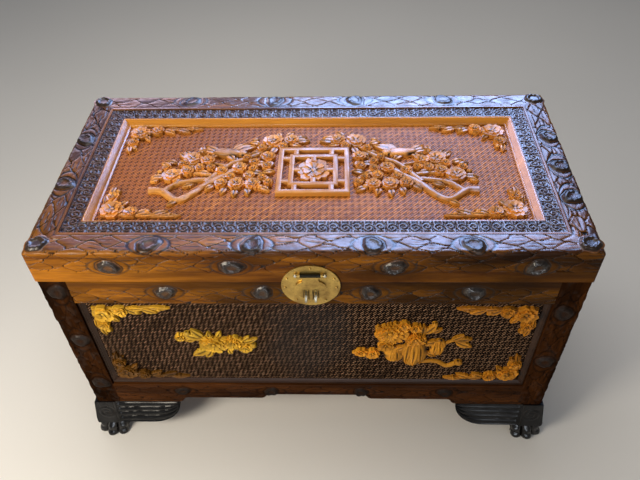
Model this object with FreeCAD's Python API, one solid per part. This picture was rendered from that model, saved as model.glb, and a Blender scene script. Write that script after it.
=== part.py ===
"""Carved wooden storage chest with woven bamboo panels, a hinged lid and a brass hasp.

Millimetres. X runs along the front, Y from front to back, Z up from the floor.
The origin is on the floor, under the middle of the chest.
"""

import FreeCAD, Part
import math
import os
from FreeCAD import Vector

# Overall size, measured over the carved lid and from the floor
LENGTH = 1020.0
DEPTH = 502.0
HEIGHT = 605.0
LID_HEIGHT = 76.0
SEAM_GAP = 0.3
CORNER_ROUND = 12.0
EDGE_ROUND = 8.0

# Lid: rebated rails, a board under their flanges, borders and a woven mat on the board
BARK_WIDTH = 52.0
LID_FLANGE = 20.0
LID_WEB = 34.0
LID_BOARD = 14.0
SCROLL_WIDTH = 32.0
SCROLL_DROP = 3.0
LID_MOULD_WIDTH = 16.0
LID_MOULD_DROP = 2.0
MAT = 2.0

# Case: boards with framing strips planted on their faces
BOARD = 20.0
STRIP = 14.0
STILE_WIDTH = 58.0
TOP_RAIL = 63.0
APRON_TOP = 184.0
APRON_END = 112.0
APRON_STEP = 130.0
APRON_MIDDLE = 146.0
OGEE_RUN = 24.0
PANEL_MOULD = 12.0
PANEL_MOULD_THICK = 9.0
FLOOR_UNDER = 150.0
FLOOR_BOARD = 14.0

# Feet: two bracket wings and a lobed paw at each corner
FRONT_WING = 195.0
END_WING = 135.0
WING_BOTTOM = 38.0
WING_THICK = 22.0
WING_FLARE = 10.0
PAW_INSET = 26.0
PAW_PEAK = 50.0
PAW_VALLEY = 43.0
PAW_TOES = 5
PAW_LEVELS = ((0.0, 1.0), (12.0, 1.01), (26.0, 0.93), (WING_BOTTOM, 0.81))
PAW_BACK = 28.0
NECK_FRONT = 4.0

# Healed knots carved on the rails and posts: low round bosses, placed along each side from its middle
KNOT_RADIUS = 17.5
KNOT_TOP = 13.5
KNOT_RISE = 4.5
KNOT_ROOT = 1.5
TOP_KNOT_INSET = 21.0
CORNER_KNOT_INSET = 23.0
LID_KNOT_Z = 568.5
RAIL_KNOT_Z = 499.0
STILE_KNOT_INSET = 33.0
TOP_KNOTS = {
    "front": (-286, -102, 111, 287), "right": (-104, -12, 87), "back": (-285, -87, 95, 285), "left": (-86, 61),
}
LID_KNOTS = {"front": (-362, -140, 150, 400), "right": (-170, 10, 160), "back": (), "left": (-150, 40, 190)}
RAIL_KNOTS = {"front": (-273, -91, 109, 300), "right": (-130, 0, 120), "back": (), "left": (-120, 20, 130)}
LEFT_STILE_KNOTS = {"front": (499, 348, 190), "right": (499, 380, 200), "back": (), "left": (470, 300)}
RIGHT_STILE_KNOTS = {"front": (440, 280), "right": (460, 290), "back": (), "left": (420, 250)}

# Applied carvings
CARVING_THICK = 9.0
CORNER_LONG = 160.0
CORNER_SHORT = 92.0
CORNER_GAP = 4.0
MEDALLION = 146.0
MEDALLION_BAR = 11.0
MEDALLION_THICK = 10.0
MEDALLION_Y = -8.0

# Brass hasp and lock plate, on the front at the middle
PLATE_RADIUS = 54.0
PLATE_THICK = 2.5
PLATE_CENTRE_DROP = 8.0
HASP_PIN_RISE = 24.0
HASP_PIN_RADIUS = 1.8
HASP_BARREL_RADIUS = 3.5
HASP_BARREL_HALF = 18.5
HASP_LUG_HALF = 23.5
HASP_THICK = 2.4
HASP_CLEAR = 0.7
HASP_LENGTH = 68.0
STAPLE_X = 9.0
STAPLE_HALF = 2.0
STAPLE_DROP = 30.0
STAPLE_RADIUS = 9.0
EYE_RADIUS = 4.0
NOTCH_HALF = 4.0
RUNNING = 0.05

# Two stop hinges on the back
HINGE_X = 330.0
HINGE_HALF = 32.0
HINGE_LEAF = 34.0
HINGE_THICK = 2.0
HINGE_AXIS_OUT = 4.7
HINGE_BARREL = 4.5
HINGE_PIN = 2.5
HINGE_MIDDLE_HALF = 12.0
HINGE_STOP_RADIUS = 13.0
HINGE_STOP_START = 50.0
HINGE_STOP_SPAN = 17.0
LID_OPENS = 100.0
KNUCKLE_GAP = 0.3

# Screws and nails
SCREW_SHANK = 1.6
SCREW_HEAD = 3.2
SCREW_DEPTH = 10.0
NAIL_SHANK = 1.1
NAIL_HEAD = 2.6

# Levels and half sizes that follow from the sizes above
HALF_X = LENGTH / 2
HALF_Y = DEPTH / 2
SEAM = HEIGHT - LID_HEIGHT
LID_BOTTOM = SEAM + SEAM_GAP
FLANGE_UNDER = HEIGHT - LID_FLANGE
RAIL_UNDER = SEAM - TOP_RAIL
MAT_TOP = FLANGE_UNDER + MAT
CASE_X = HALF_X - STRIP
CASE_Y = HALF_Y - STRIP
INSIDE_X = CASE_X - BOARD
INSIDE_Y = CASE_Y - BOARD
LID_PANEL_INSET = BARK_WIDTH + SCROLL_WIDTH + LID_MOULD_WIDTH
PLATE_Z = SEAM - PLATE_CENTRE_DROP
PLATE_FACE = HALF_Y + PLATE_THICK
HASP_PIN_Z = SEAM + HASP_PIN_RISE
HASP_AXIS = PLATE_FACE + HASP_BARREL_RADIUS + SEAM_GAP
HINGE_AXIS = HALF_Y + HINGE_AXIS_OUT
EVERYWHERE = 2000.0

# Each side is drawn as the front is, then turned about Z: its turn, half length and distance from the middle
SIDES = {
    "front": (0, HALF_X, HALF_Y),
    "right": (90, HALF_Y, HALF_X),
    "back": (180, HALF_X, HALF_Y),
    "left": (270, HALF_Y, HALF_X),
}
WINGS = {"front": FRONT_WING, "back": FRONT_WING, "left": END_WING, "right": END_WING}
# Each corner joins the left end of one side and the right end of the next
CORNERS = {
    "front_left": ("front", "left"),
    "front_right": ("right", "front"),
    "back_right": ("back", "right"),
    "back_left": ("left", "back"),
}


def box(x0, x1, y0, y1, z0, z1):
    """A block between two corners."""
    return Part.makeBox(x1 - x0, y1 - y0, z1 - z0, Vector(x0, y0, z0))


def outline(start, *steps):
    """A closed flat wire: a step is a point for a line, or a (middle, end) pair of points for an arc."""
    here = Vector(*start)
    first = here
    edges = []
    for step in steps:
        if isinstance(step[0], (tuple, list)):
            middle, end = Vector(*step[0]), Vector(*step[1])
            edges.append(Part.Arc(here, middle, end).toShape())
        else:
            end = Vector(*step)
            edges.append(Part.makeLine(here, end))
        here = end
    if (here - first).Length > 1e-6:
        edges.append(Part.makeLine(here, first))
    return Part.Wire(edges)


def slab(wire, height):
    """The wire's face made solid, along Z."""
    return Part.Face(wire).extrude(Vector(0, 0, height))


def along(points, axis, start, length):
    """A prism of a polygon of (a, b) points: across X the points are (y, z), across Y they are (x, z)."""
    if axis == "x":
        corners = [Vector(start, a, b) for a, b in points]
        direction = Vector(length, 0, 0)
    else:
        corners = [Vector(a, start, b) for a, b in points]
        direction = Vector(0, length, 0)
    return Part.Face(Part.makePolygon(corners + corners[:1])).extrude(direction)


def rod(radius, start, end):
    """A round bar between two points."""
    a, b = Vector(*start), Vector(*end)
    return Part.makeCylinder(radius, (b - a).Length, a, b - a)


def dome(radius, centre, direction):
    """Half a ball, flat at its centre, bulging along the direction."""
    return Part.makeSphere(radius, Vector(*centre), Vector(*direction), 0, 90, 360)


def turned(shape, degrees):
    """A copy turned about the Z axis."""
    copy = shape.copy()
    copy.rotate(Vector(0, 0, 0), Vector(0, 0, 1), degrees)
    return copy


def flipped(shape, x=False, y=False):
    """A copy mirrored left to right, front to back, or both."""
    for wanted, normal in ((x, Vector(1, 0, 0)), (y, Vector(0, 1, 0))):
        if wanted:
            shape = shape.mirror(Vector(0, 0, 0), normal)
    return shape


def stood_up(shape, outward, x=0.0, z=0.0):
    """A relief drawn flat is stood against the front: its Y becomes Z and its height points outward."""
    copy = shape.copy()
    copy.rotate(Vector(0, 0, 0), Vector(1, 0, 0), 90)
    copy.translate(Vector(x, -outward, z))
    return copy


def group(shapes):
    """Separate solids that share one node."""
    return Part.Compound([solid for shape in shapes for solid in shape.Solids])


def joined(shapes):
    """One solid from overlapping ones."""
    return shapes[0].multiFuse(shapes[1:]).removeSplitter() if len(shapes) > 1 else shapes[0]


def ogee(start, end):
    """Two equal arcs, level at both ends, from one (a, b) point to another, as outline steps without depth."""
    run, rise = end[0] - start[0], end[1] - start[1]
    radius = (run * run + rise * rise) / (4 * abs(rise))
    half_turn = math.atan2(abs(rise), abs(run))
    across = math.copysign(radius * math.sin(half_turn), run)
    up = math.copysign(radius * (1 - math.cos(half_turn)), rise)
    middle = (start[0] + run / 2, start[1] + rise / 2)
    return [
        ((start[0] + across, start[1] + up), middle),
        ((end[0] - across, end[1] - up), end),
    ]


def wedge(half_length, half_depth, reach):
    """The mitred share of a frame that belongs to the front side, as a prism taller than the chest."""
    inner_x, inner_y = half_length - reach, -half_depth + reach
    corners = [
        (-half_length, -half_depth, 0),
        (half_length, -half_depth, 0),
        (inner_x, inner_y, 0),
        (-inner_x, inner_y, 0),
    ]
    return slab(outline(*corners), HEIGHT + KNOT_RISE)


def mitred_strips(ring, half_x, half_y, reach):
    """A closed ring of moulding cut into four mitred strips."""
    front = wedge(half_x, half_y, reach)
    end = wedge(half_y, half_x, reach)
    return [
        ring.common(front),
        ring.common(turned(end, 90)),
        ring.common(turned(front, 180)),
        ring.common(turned(end, 270)),
    ]


def knot(place, outward):
    """A round boss with sloping sides, rooted a little way in the wood."""
    direction = Vector(*outward)
    base = Vector(*place) - direction * KNOT_ROOT
    return Part.makeCone(KNOT_RADIUS, KNOT_TOP, KNOT_RISE + KNOT_ROOT, base, direction)


# Lid


def lid_knots(side):
    """A lid rail's knots: on its top, on its outer face, and the half of a knot at each mitre."""
    turn, half_length, half_depth = SIDES[side]
    up, out = (0, 0, 1), (0, -1, 0)
    knots = [knot((u, TOP_KNOT_INSET - half_depth, HEIGHT), up) for u in TOP_KNOTS[side]]
    knots += [knot((u, -half_depth, LID_KNOT_Z), out) for u in LID_KNOTS[side]]
    share = wedge(half_length, half_depth, BARK_WIDTH)
    reach = half_length - CORNER_KNOT_INSET
    for u in (-reach, reach):
        knots.append(knot((u, CORNER_KNOT_INSET - half_depth, HEIGHT), up).common(share))
    return [turned(k, turn) for k in knots]


def lid_rails():
    """Four mitred rails with a rounded outer edge and a rebate for the board, keyed by side."""
    block = box(-HALF_X, HALF_X, -HALF_Y, HALF_Y, LID_BOTTOM, HEIGHT)
    uprights = [e for e in block.Edges if abs(e.Vertexes[0].Z - e.Vertexes[1].Z) > 1]
    block = block.makeFillet(CORNER_ROUND, uprights)
    rim = [e for e in block.Edges if abs(e.BoundBox.ZMin - HEIGHT) < 0.01]
    block = block.makeFillet(EDGE_ROUND, rim)
    open_x, open_y = HALF_X - BARK_WIDTH, HALF_Y - BARK_WIDTH
    web_x, web_y = HALF_X - LID_WEB, HALF_Y - LID_WEB
    frame = block.cut(box(-open_x, open_x, -open_y, open_y, LID_BOTTOM, HEIGHT))
    frame = frame.cut(box(-web_x, web_x, -web_y, web_y, LID_BOTTOM, FLANGE_UNDER))
    strips = mitred_strips(frame, HALF_X, HALF_Y, BARK_WIDTH + 1)
    return {side: joined([strip, *lid_knots(side)]) for side, strip in zip(SIDES, strips)}


def lid_board():
    return box(
        LID_WEB - HALF_X, HALF_X - LID_WEB, LID_WEB - HALF_Y, HALF_Y - LID_WEB,
        FLANGE_UNDER - LID_BOARD, FLANGE_UNDER,
    )


def scroll_border():
    """Four mitred strips inside the carved border, with a hollow run along the middle of each."""
    outer_x, outer_y = HALF_X - BARK_WIDTH, HALF_Y - BARK_WIDTH
    inner_x, inner_y = outer_x - SCROLL_WIDTH, outer_y - SCROLL_WIDTH
    top = HEIGHT - SCROLL_DROP
    ring = box(-outer_x, outer_x, -outer_y, outer_y, FLANGE_UNDER, top)
    ring = ring.cut(box(-inner_x, inner_x, -inner_y, inner_y, FLANGE_UNDER, top))
    return group(mitred_strips(ring, outer_x, outer_y, SCROLL_WIDTH + 1))


def moulding_ring(half_x, half_y, width, base, outer_top, inner_top, flat):
    """A picture-frame moulding: a flat outer edge, then a bevel down to the panel."""
    section_outer = box(-half_x, half_x, -half_y, half_y, base, outer_top)
    hole_x, hole_y = half_x - width, half_y - width
    ring = section_outer.cut(box(-hole_x, hole_x, -hole_y, hole_y, base, outer_top))
    rim_x, rim_y = half_x - flat, half_y - flat
    top_rect = Part.makePolygon(
        [Vector(sx * rim_x, sy * rim_y, outer_top) for sx, sy in ((-1, -1), (1, -1), (1, 1), (-1, 1), (-1, -1))]
    )
    low_rect = Part.makePolygon(
        [Vector(sx * hole_x, sy * hole_y, inner_top) for sx, sy in ((-1, -1), (1, -1), (1, 1), (-1, 1), (-1, -1))]
    )
    return ring.cut(Part.makeLoft([low_rect, top_rect], True, True))


def lid_panel_moulding():
    half_x, half_y = HALF_X - BARK_WIDTH - SCROLL_WIDTH, HALF_Y - BARK_WIDTH - SCROLL_WIDTH
    ring = moulding_ring(
        half_x, half_y, LID_MOULD_WIDTH, FLANGE_UNDER, HEIGHT - LID_MOULD_DROP, MAT_TOP + 3, 6.0
    )
    return group(mitred_strips(ring, half_x, half_y, LID_MOULD_WIDTH + 1))


def lid_weave():
    half_x, half_y = HALF_X - LID_PANEL_INSET, HALF_Y - LID_PANEL_INSET
    return box(-half_x, half_x, -half_y, half_y, FLANGE_UNDER, MAT_TOP)


# Case


def stile(half_length, half_depth, knot_heights):
    """The framing strip at the left end of a side: mitred and rounded at the corner, with knots on its face."""
    edge = CORNER_ROUND * (1 - math.sqrt(0.5))
    on_arc = CORNER_ROUND * (1 - math.cos(math.radians(22.5)))
    before = CORNER_ROUND * (1 - math.sin(math.radians(22.5)))
    wire = outline(
        (-half_length + edge, -half_depth + edge, APRON_END),
        (
            (-half_length + before, -half_depth + on_arc, APRON_END),
            (-half_length + CORNER_ROUND, -half_depth, APRON_END),
        ),
        (-half_length + STILE_WIDTH, -half_depth, APRON_END),
        (-half_length + STILE_WIDTH, -half_depth + STRIP, APRON_END),
        (-half_length + STRIP, -half_depth + STRIP, APRON_END),
    )
    u = STILE_KNOT_INSET - half_length
    knots = [knot((u, -half_depth, z), (0, -1, 0)) for z in knot_heights]
    return joined([slab(wire, SEAM - APRON_END), *knots])


def top_rail(half_length, half_depth, knots_along):
    reach = half_length - STILE_WIDTH
    strip = box(-reach, reach, -half_depth, -half_depth + STRIP, RAIL_UNDER, SEAM)
    return joined([strip, *[knot((u, -half_depth, RAIL_KNOT_Z), (0, -1, 0)) for u in knots_along]])


def apron(half_length, half_depth, wing):
    """The bottom rail: its lower edge steps up in ogees from the feet to the middle."""
    reach = half_length - STILE_WIDTH
    foot, middle = half_length - wing, 0.2 * half_length
    low = [(reach, APRON_END), (foot, APRON_END), (foot - OGEE_RUN, APRON_STEP)]
    high = [(middle + OGEE_RUN, APRON_STEP), (middle, APRON_MIDDLE)]
    y = -half_depth

    def place(step):
        return tuple((a, y, b) for a, b in step)

    def point(a, b):
        return (a, y, b)

    steps = [point(reach, APRON_TOP), point(*low[0]), point(*low[1])]
    steps += [place(s) for s in ogee(low[1], low[2])]
    steps += [point(*high[0])]
    steps += [place(s) for s in ogee(high[0], high[1])]
    steps += [point(-middle, APRON_MIDDLE)]
    steps += [place(s) for s in ogee((-middle, APRON_MIDDLE), (-high[0][0], APRON_STEP))]
    steps += [point(-low[2][0], APRON_STEP)]
    steps += [place(s) for s in ogee((-low[2][0], APRON_STEP), (-foot, APRON_END))]
    steps += [point(-reach, APRON_END)]
    wire = outline(point(-reach, APRON_TOP), *steps)
    return Part.Face(wire).extrude(Vector(0, STRIP, 0))


def panel_moulding(half_length, half_depth):
    """Four mitred strips round the woven panel of a side."""
    half_x = half_length - STILE_WIDTH
    half_z = (RAIL_UNDER - APRON_TOP) / 2
    ring = moulding_ring(half_x, half_z, PANEL_MOULD, 0.0, PANEL_MOULD_THICK, MAT + 1, 4.0)
    strips = mitred_strips(ring, half_x, half_z, PANEL_MOULD + 1)
    return group([stood_up(s, half_depth - STRIP, 0, APRON_TOP + half_z) for s in strips])


def side_weave(half_length, half_depth):
    reach = half_length - STILE_WIDTH - PANEL_MOULD
    face = -half_depth + STRIP
    return box(-reach, reach, face - MAT, face, APRON_TOP + PANEL_MOULD, RAIL_UNDER - PANEL_MOULD)


def case_boards():
    """The plain boards of the box: front and back run through, the ends fit between them."""
    long_board = box(-CASE_X, CASE_X, -CASE_Y, -INSIDE_Y, FLOOR_UNDER, SEAM)
    end_board = box(-CASE_X, -INSIDE_X, -INSIDE_Y, INSIDE_Y, FLOOR_UNDER, SEAM)
    return {
        "front_board": long_board,
        "back_board": flipped(long_board, y=True),
        "left_board": end_board,
        "right_board": flipped(end_board, x=True),
        "bottom_board": box(-INSIDE_X, INSIDE_X, -INSIDE_Y, INSIDE_Y, FLOOR_UNDER, FLOOR_UNDER + FLOOR_BOARD),
    }


# Feet


def wing(half_length, half_depth, length):
    """The bracket at the left end of a side: a quarter-round end, and a face leaning outward to the floor."""
    corner, front = -half_length, -half_depth
    end = corner + length
    outer = front - WING_FLARE
    radius = APRON_END - WING_BOTTOM
    reach = radius * math.sqrt(0.5)
    quarter_round = ((end - radius + reach, outer, APRON_END - reach), (end - radius, outer, WING_BOTTOM))
    lower = (corner - WING_FLARE, outer, WING_BOTTOM)
    start = (corner - WING_FLARE, outer, APRON_END)
    block = Part.Face(outline(start, (end, outer, APRON_END), quarter_round, lower))
    block = block.extrude(Vector(0, WING_FLARE + WING_THICK, 0))
    slope = WING_FLARE / (APRON_END - WING_BOTTOM)
    above, below = APRON_END + 10, WING_BOTTOM - 10
    shaving = [
        (front + slope * 10, above),
        (front - WING_FLARE - slope * 10, below),
        (front - 3 * WING_FLARE, below),
        (front - 3 * WING_FLARE, above),
    ]
    block = block.cut(along(shaving, "x", corner - 100, length + 200))
    far = length + 100
    mitre = outline(
        (corner - 60, front - 60, 0), (corner + far, front - 60, 0), (corner + far, front + far, 0)
    )
    return block.common(slab(mitre, HEIGHT))


def paw_outline(height, scale, centre):
    """A paw's plan: a row of round toes on the outside, square at the back."""
    step = math.pi / PAW_TOES
    start = math.radians(135)

    def spot(radius, angle):
        reach = radius * scale
        return (centre[0] + reach * math.cos(angle), centre[1] + reach * math.sin(angle), height)

    toes = []
    for toe in range(PAW_TOES):
        angle = start + toe * step
        toes.append((spot(PAW_PEAK, angle + step / 2), spot(PAW_VALLEY, angle + step)))
    back = PAW_BACK * scale
    square = (centre[0] + back, centre[1] + back, height)
    return outline(spot(PAW_VALLEY, start), *toes, square)


def paw():
    """The front left paw with the glue block that stands on it inside the corner."""
    centre = (-HALF_X + PAW_INSET, -HALF_Y + PAW_INSET)
    body = Part.makeLoft([paw_outline(z, s, centre) for z, s in PAW_LEVELS], True, True)
    neck = box(
        centre[0] - NECK_FRONT, centre[0] + PAW_BACK, centre[1] - NECK_FRONT, centre[1] + PAW_BACK,
        PAW_LEVELS[-2][0], FLOOR_UNDER,
    )
    return body.fuse(neck)


# Applied carvings, drawn flat with their backs at Z = 0


def rosette(x, y, radius, petals, height, turn=0.0):
    """A flower: round petals as arcs, with a raised round heart."""
    step = 2 * math.pi / petals
    valley = 1.03 * radius / (math.cos(step / 2) + math.sin(step / 2))

    def spot(reach, angle):
        return (x + reach * math.cos(angle), y + reach * math.sin(angle), 0)

    first = math.radians(turn)
    arcs = []
    for petal in range(petals):
        angle = first + petal * step
        arcs.append((spot(radius, angle + step / 2), spot(valley, angle + step)))
    flower = slab(outline(spot(valley, first), *arcs), height)
    heart = Part.makeCone(0.36 * radius, 0.22 * radius, height + 2, Vector(x, y, 0))
    return flower.fuse(heart)


def leaf(base, tip, width, height):
    """A pointed leaf between two points, as two arcs."""
    (x0, y0), (x1, y1) = base, tip
    length = math.hypot(x1 - x0, y1 - y0)
    side_x, side_y = -(y1 - y0) / length * width / 2, (x1 - x0) / length * width / 2
    middle_x, middle_y = (x0 + x1) / 2, (y0 + y1) / 2
    wire = outline(
        (x0, y0, 0),
        ((middle_x + side_x, middle_y + side_y, 0), (x1, y1, 0)),
        ((middle_x - side_x, middle_y - side_y, 0), (x0, y0, 0)),
    )
    return slab(wire, height)


def twig(points, start_width, end_width, height):
    """A bough along a smooth line, tapering from one width to the other."""
    line = Part.BSplineCurve()
    line.interpolate([Vector(x, y, 0) for x, y in points])
    first, last = line.FirstParameter, line.LastParameter
    sides = ([], [])
    for step in range(len(points)):
        share = step / (len(points) - 1)
        spot = first + share * (last - first)
        here, tangent = line.value(spot), line.tangent(spot)[0]
        half = (start_width + share * (end_width - start_width)) / 2
        across = Vector(-tangent.y * half, tangent.x * half, 0)
        sides[0].append(here + across)
        sides[1].append(here - across)
    edges = []
    for side in sides:
        curve = Part.BSplineCurve()
        curve.interpolate(side)
        edges.append(curve.toShape())
    edges.append(Part.makeLine(sides[0][0], sides[1][0]))
    edges.append(Part.makeLine(sides[0][-1], sides[1][-1]))
    wire = Part.Wire(Part.__sortEdges__(edges))
    return slab(wire, height)


def bird(x, y, size, height):
    """A small bird in flight to the right: body, two wings, tail and head."""
    return [
        leaf((x - 0.45 * size, y - 0.05 * size), (x + 0.45 * size, y + 0.06 * size), 0.3 * size, height),
        leaf((x - 0.05 * size, y), (x - 0.42 * size, y + 0.5 * size), 0.26 * size, height - 1),
        leaf((x + 0.08 * size, y), (x + 0.02 * size, y - 0.45 * size), 0.22 * size, height - 1),
        leaf((x - 0.3 * size, y - 0.03 * size), (x - 0.85 * size, y - 0.16 * size), 0.16 * size, height - 2),
        rosette(x + 0.44 * size, y + 0.1 * size, 0.13 * size, 3, height),
    ]


def corner_spray():
    """A flowering spray that fills a panel's lower left corner, along both edges."""
    t = CARVING_THICK
    return joined([
        twig([(0, 9), (45, 11), (100, 6), (CORNER_LONG, 4)], 17, 5, t - 4),
        twig([(9, 0), (12, 30), (7, 60), (5, CORNER_SHORT)], 16, 6, t - 4),
        rosette(21, 20, 20, 5, t, 10),
        rosette(62, 13, 12, 5, t - 1, 40),
        rosette(14, 58, 11, 5, t - 1, 0),
        leaf((30, 8), (58, 26), 12, t - 2),
        leaf((84, 4), (116, 17), 11, t - 2),
        leaf((112, 3), (146, 11), 8, t - 3),
        leaf((5, 68), (17, 90), 9, t - 2),
    ])


def flowering_branch():
    """The bough on the left of the lid: a knotted trunk low on the left, blossom and birds above it."""
    t = CARVING_THICK
    return joined([
        twig([(-326, -62), (-296, -74), (-262, -98), (-232, -78), (-196, -52), (-150, -30)], 22, 14, t),
        twig([(-268, -92), (-246, -60), (-212, -46), (-176, -42)], 15, 9, t - 2),
        twig([(-156, -32), (-130, 4), (-98, 44), (-70, 84), (-34, 102)], 13, 6, t - 2),
        twig([(-176, -40), (-222, -10), (-262, -6), (-302, -22)], 12, 6, t - 3),
        twig([(-160, -34), (-120, -52), (-88, -60)], 10, 6, t - 3),
        rosette(-290, -22, 22, 5, t, 10),
        rosette(-236, 6, 20, 5, t - 1, 30),
        rosette(-196, 24, 19, 5, t, 50),
        rosette(-150, -2, 21, 5, t, 0),
        rosette(-118, -56, 18, 5, t - 1, 25),
        rosette(-88, -50, 14, 5, t - 2, 40),
        rosette(-90, 86, 21, 5, t, 15),
        rosette(-44, 100, 17, 5, t - 1, 60),
        leaf((-106, 36), (-78, 22), 15, t - 2),
        leaf((-196, -44), (-216, -68), 13, t - 3),
        leaf((-60, 88), (-26, 112), 14, t - 3),
        *bird(-150, 52, 66, t),
    ])


def chrysanthemum_spray():
    """The spray on the right of the front: full-petalled flowers on a stem, with leaves to the right."""
    t = CARVING_THICK
    return joined([
        twig([(-116, -24), (-70, -22), (-10, -18), (50, 0), (116, 22)], 9, 9, t - 3),
        twig([(10, -22), (44, -52), (84, -58)], 10, 12, t - 3),
        rosette(0, -32, 36, 11, t, 0),
        rosette(-46, 22, 32, 12, t - 1, 10),
        rosette(-50, -36, 21, 9, t - 2, 5),
        rosette(46, -8, 26, 10, t - 1, 0),
        rosette(10, 46, 26, 9, t - 2, 20),
        rosette(56, 44, 20, 8, t - 2, 0),
        rosette(-94, -26, 20, 7, t - 2, 15),
        leaf((70, 6), (122, 34), 22, t - 2),
        leaf((80, 0), (122, 8), 16, t - 3),
        leaf((-16, 34), (-60, 62), 18, t - 3),
    ])


def lily_spray():
    """The smaller spray on the left of the front: overlapped leaves with a bud at each end."""
    t = CARVING_THICK
    return joined([
        twig([(-70, 24), (-36, 22), (10, -4), (74, -2)], 15, 9, t - 3),
        twig([(-56, -36), (-24, -22), (12, -10)], 14, 9, t - 3),
        rosette(-58, 28, 17, 6, t, 0),
        rosette(-2, 2, 26, 10, t, 8),
        rosette(34, 0, 21, 9, t - 1, 0),
        rosette(62, -8, 15, 6, t - 1, 12),
        rosette(-50, -34, 14, 6, t - 1, 0),
        leaf((-30, 20), (4, 34), 16, t - 3),
        leaf((40, 8), (78, 14), 12, t - 3),
    ])


def medallion():
    """A square fret: nested frames tied by short bars, with a flower at the middle."""
    half = MEDALLION / 2
    bar, t = MEDALLION_BAR, MEDALLION_THICK

    def frame(outer):
        inner = outer - bar
        ring = box(-outer, outer, -outer, outer, 0, t)
        return ring.cut(box(-inner, inner, -inner, inner, 0, t))

    middle, gap = half - 2.1 * bar, 1.1 * bar
    pieces = [frame(half), frame(middle), rosette(0, 0, middle - bar - 4, 8, t, 0)]
    for quarter in range(4):
        for offset in (-0.5 * half, 0.5 * half):
            tie = box(offset - bar / 2, offset + bar / 2, middle - 1, middle + gap + 1, 0, t)
            pieces.append(turned(tie, 90 * quarter))
        tie = box(-bar / 2, bar / 2, middle - bar - 12, middle - bar + 1, 0, t)
        pieces.append(turned(tie, 90 * quarter))
    fret = joined(pieces)
    fret.translate(Vector(0, MEDALLION_Y, 0))
    return fret


def raised(shape, height):
    copy = shape.copy()
    copy.translate(Vector(0, 0, height))
    return copy


def corner_set(half_x, half_y):
    """The corner spray mirrored into the four corners of a panel."""
    spray = corner_spray()
    spray.translate(Vector(CORNER_GAP - half_x, CORNER_GAP - half_y, 0))
    return [flipped(spray, x, y) for x in (False, True) for y in (False, True)]


def side_corner_set(half_length, half_depth):
    half_x = half_length - STILE_WIDTH - PANEL_MOULD
    half_z = (RAIL_UNDER - APRON_TOP) / 2 - PANEL_MOULD
    middle = (RAIL_UNDER + APRON_TOP) / 2
    outward = half_depth - STRIP + MAT
    return [stood_up(s, outward, 0, middle) for s in corner_set(half_x, half_z)]


def front_spray(shape, x, z):
    return stood_up(shape, HALF_Y - STRIP + MAT, x, z)


# Brass lock


def lock_disc():
    """The round plate on the front, whole, as it is before it is sawn at the lid's seam."""
    return rod(PLATE_RADIUS, (0, -HALF_Y, PLATE_Z), (0, -PLATE_FACE, PLATE_Z))


def hasp_lugs():
    """Two ears on the upper plate that hold the hasp's pin."""
    lugs = []
    for side in (-1, 1):
        near, far = side * (HASP_BARREL_HALF + KNUCKLE_GAP), side * HASP_LUG_HALF
        ear = rod(HASP_BARREL_RADIUS, (near, -HASP_AXIS, HASP_PIN_Z), (far, -HASP_AXIS, HASP_PIN_Z))
        base = box(
            min(near, far), max(near, far), -HASP_AXIS, -PLATE_FACE + 0.5,
            HASP_PIN_Z - HASP_BARREL_RADIUS, HASP_PIN_Z + HASP_BARREL_RADIUS,
        )
        lugs.append(ear.fuse(base))
    bore = rod(
        HASP_PIN_RADIUS + RUNNING,
        (-HASP_LUG_HALF, -HASP_AXIS, HASP_PIN_Z), (HASP_LUG_HALF, -HASP_AXIS, HASP_PIN_Z),
    )
    return [lug.cut(bore) for lug in lugs]


def hasp_pin():
    """The hasp's pin, with a ball on each end."""
    end = HASP_LUG_HALF + KNUCKLE_GAP
    pin = rod(HASP_PIN_RADIUS, (-end, -HASP_AXIS, HASP_PIN_Z), (end, -HASP_AXIS, HASP_PIN_Z))
    ball = HASP_BARREL_RADIUS
    balls = [
        Part.makeSphere(ball, Vector(side * (end + ball - 0.6), -HASP_AXIS, HASP_PIN_Z)) for side in (-1, 1)
    ]
    balls = [b.cut(box(-end, end, -EVERYWHERE, EVERYWHERE, 0, EVERYWHERE)) for b in balls]
    return pin.multiFuse(balls)


def hasp():
    """The swinging flap: a barrel on the pin, a waist, and three lobes parted by the staples' notches."""
    inner = -PLATE_FACE - HASP_CLEAR
    top, tip = HASP_PIN_Z, HASP_PIN_Z - HASP_LENGTH
    waist, shoulder = 14.0, 27.0
    steps = [
        (HASP_BARREL_HALF, inner, top),
        ((waist + 0.5, inner, top - 9), (waist + 2, inner, top - 18)),
        ((shoulder, inner, top - 28), (shoulder - 1, inner, top - 42)),
        ((shoulder - 5, inner, top - 55), (STAPLE_X + NOTCH_HALF, inner, tip + 6)),
        (STAPLE_X + NOTCH_HALF, inner, top - 40),
        (STAPLE_X - NOTCH_HALF, inner, top - 40),
        (STAPLE_X - NOTCH_HALF, inner, tip + 8),
        ((0, inner, tip), (-STAPLE_X + NOTCH_HALF, inner, tip + 8)),
        (-STAPLE_X + NOTCH_HALF, inner, top - 40),
        (-STAPLE_X - NOTCH_HALF, inner, top - 40),
        (-STAPLE_X - NOTCH_HALF, inner, tip + 6),
        ((5 - shoulder, inner, top - 55), (1 - shoulder, inner, top - 42)),
        ((-shoulder, inner, top - 28), (-waist - 2, inner, top - 18)),
        ((-waist - 0.5, inner, top - 9), (-HASP_BARREL_HALF, inner, top)),
    ]
    flap = Part.Face(outline((-HASP_BARREL_HALF, inner, top), *steps)).extrude(Vector(0, -HASP_THICK, 0))
    ends = [(side * HASP_BARREL_HALF, -HASP_AXIS, HASP_PIN_Z) for side in (-1, 1)]
    barrel = rod(HASP_BARREL_RADIUS, *ends)
    return flap.fuse(barrel).cut(rod(HASP_PIN_RADIUS + RUNNING, *ends))


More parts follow.
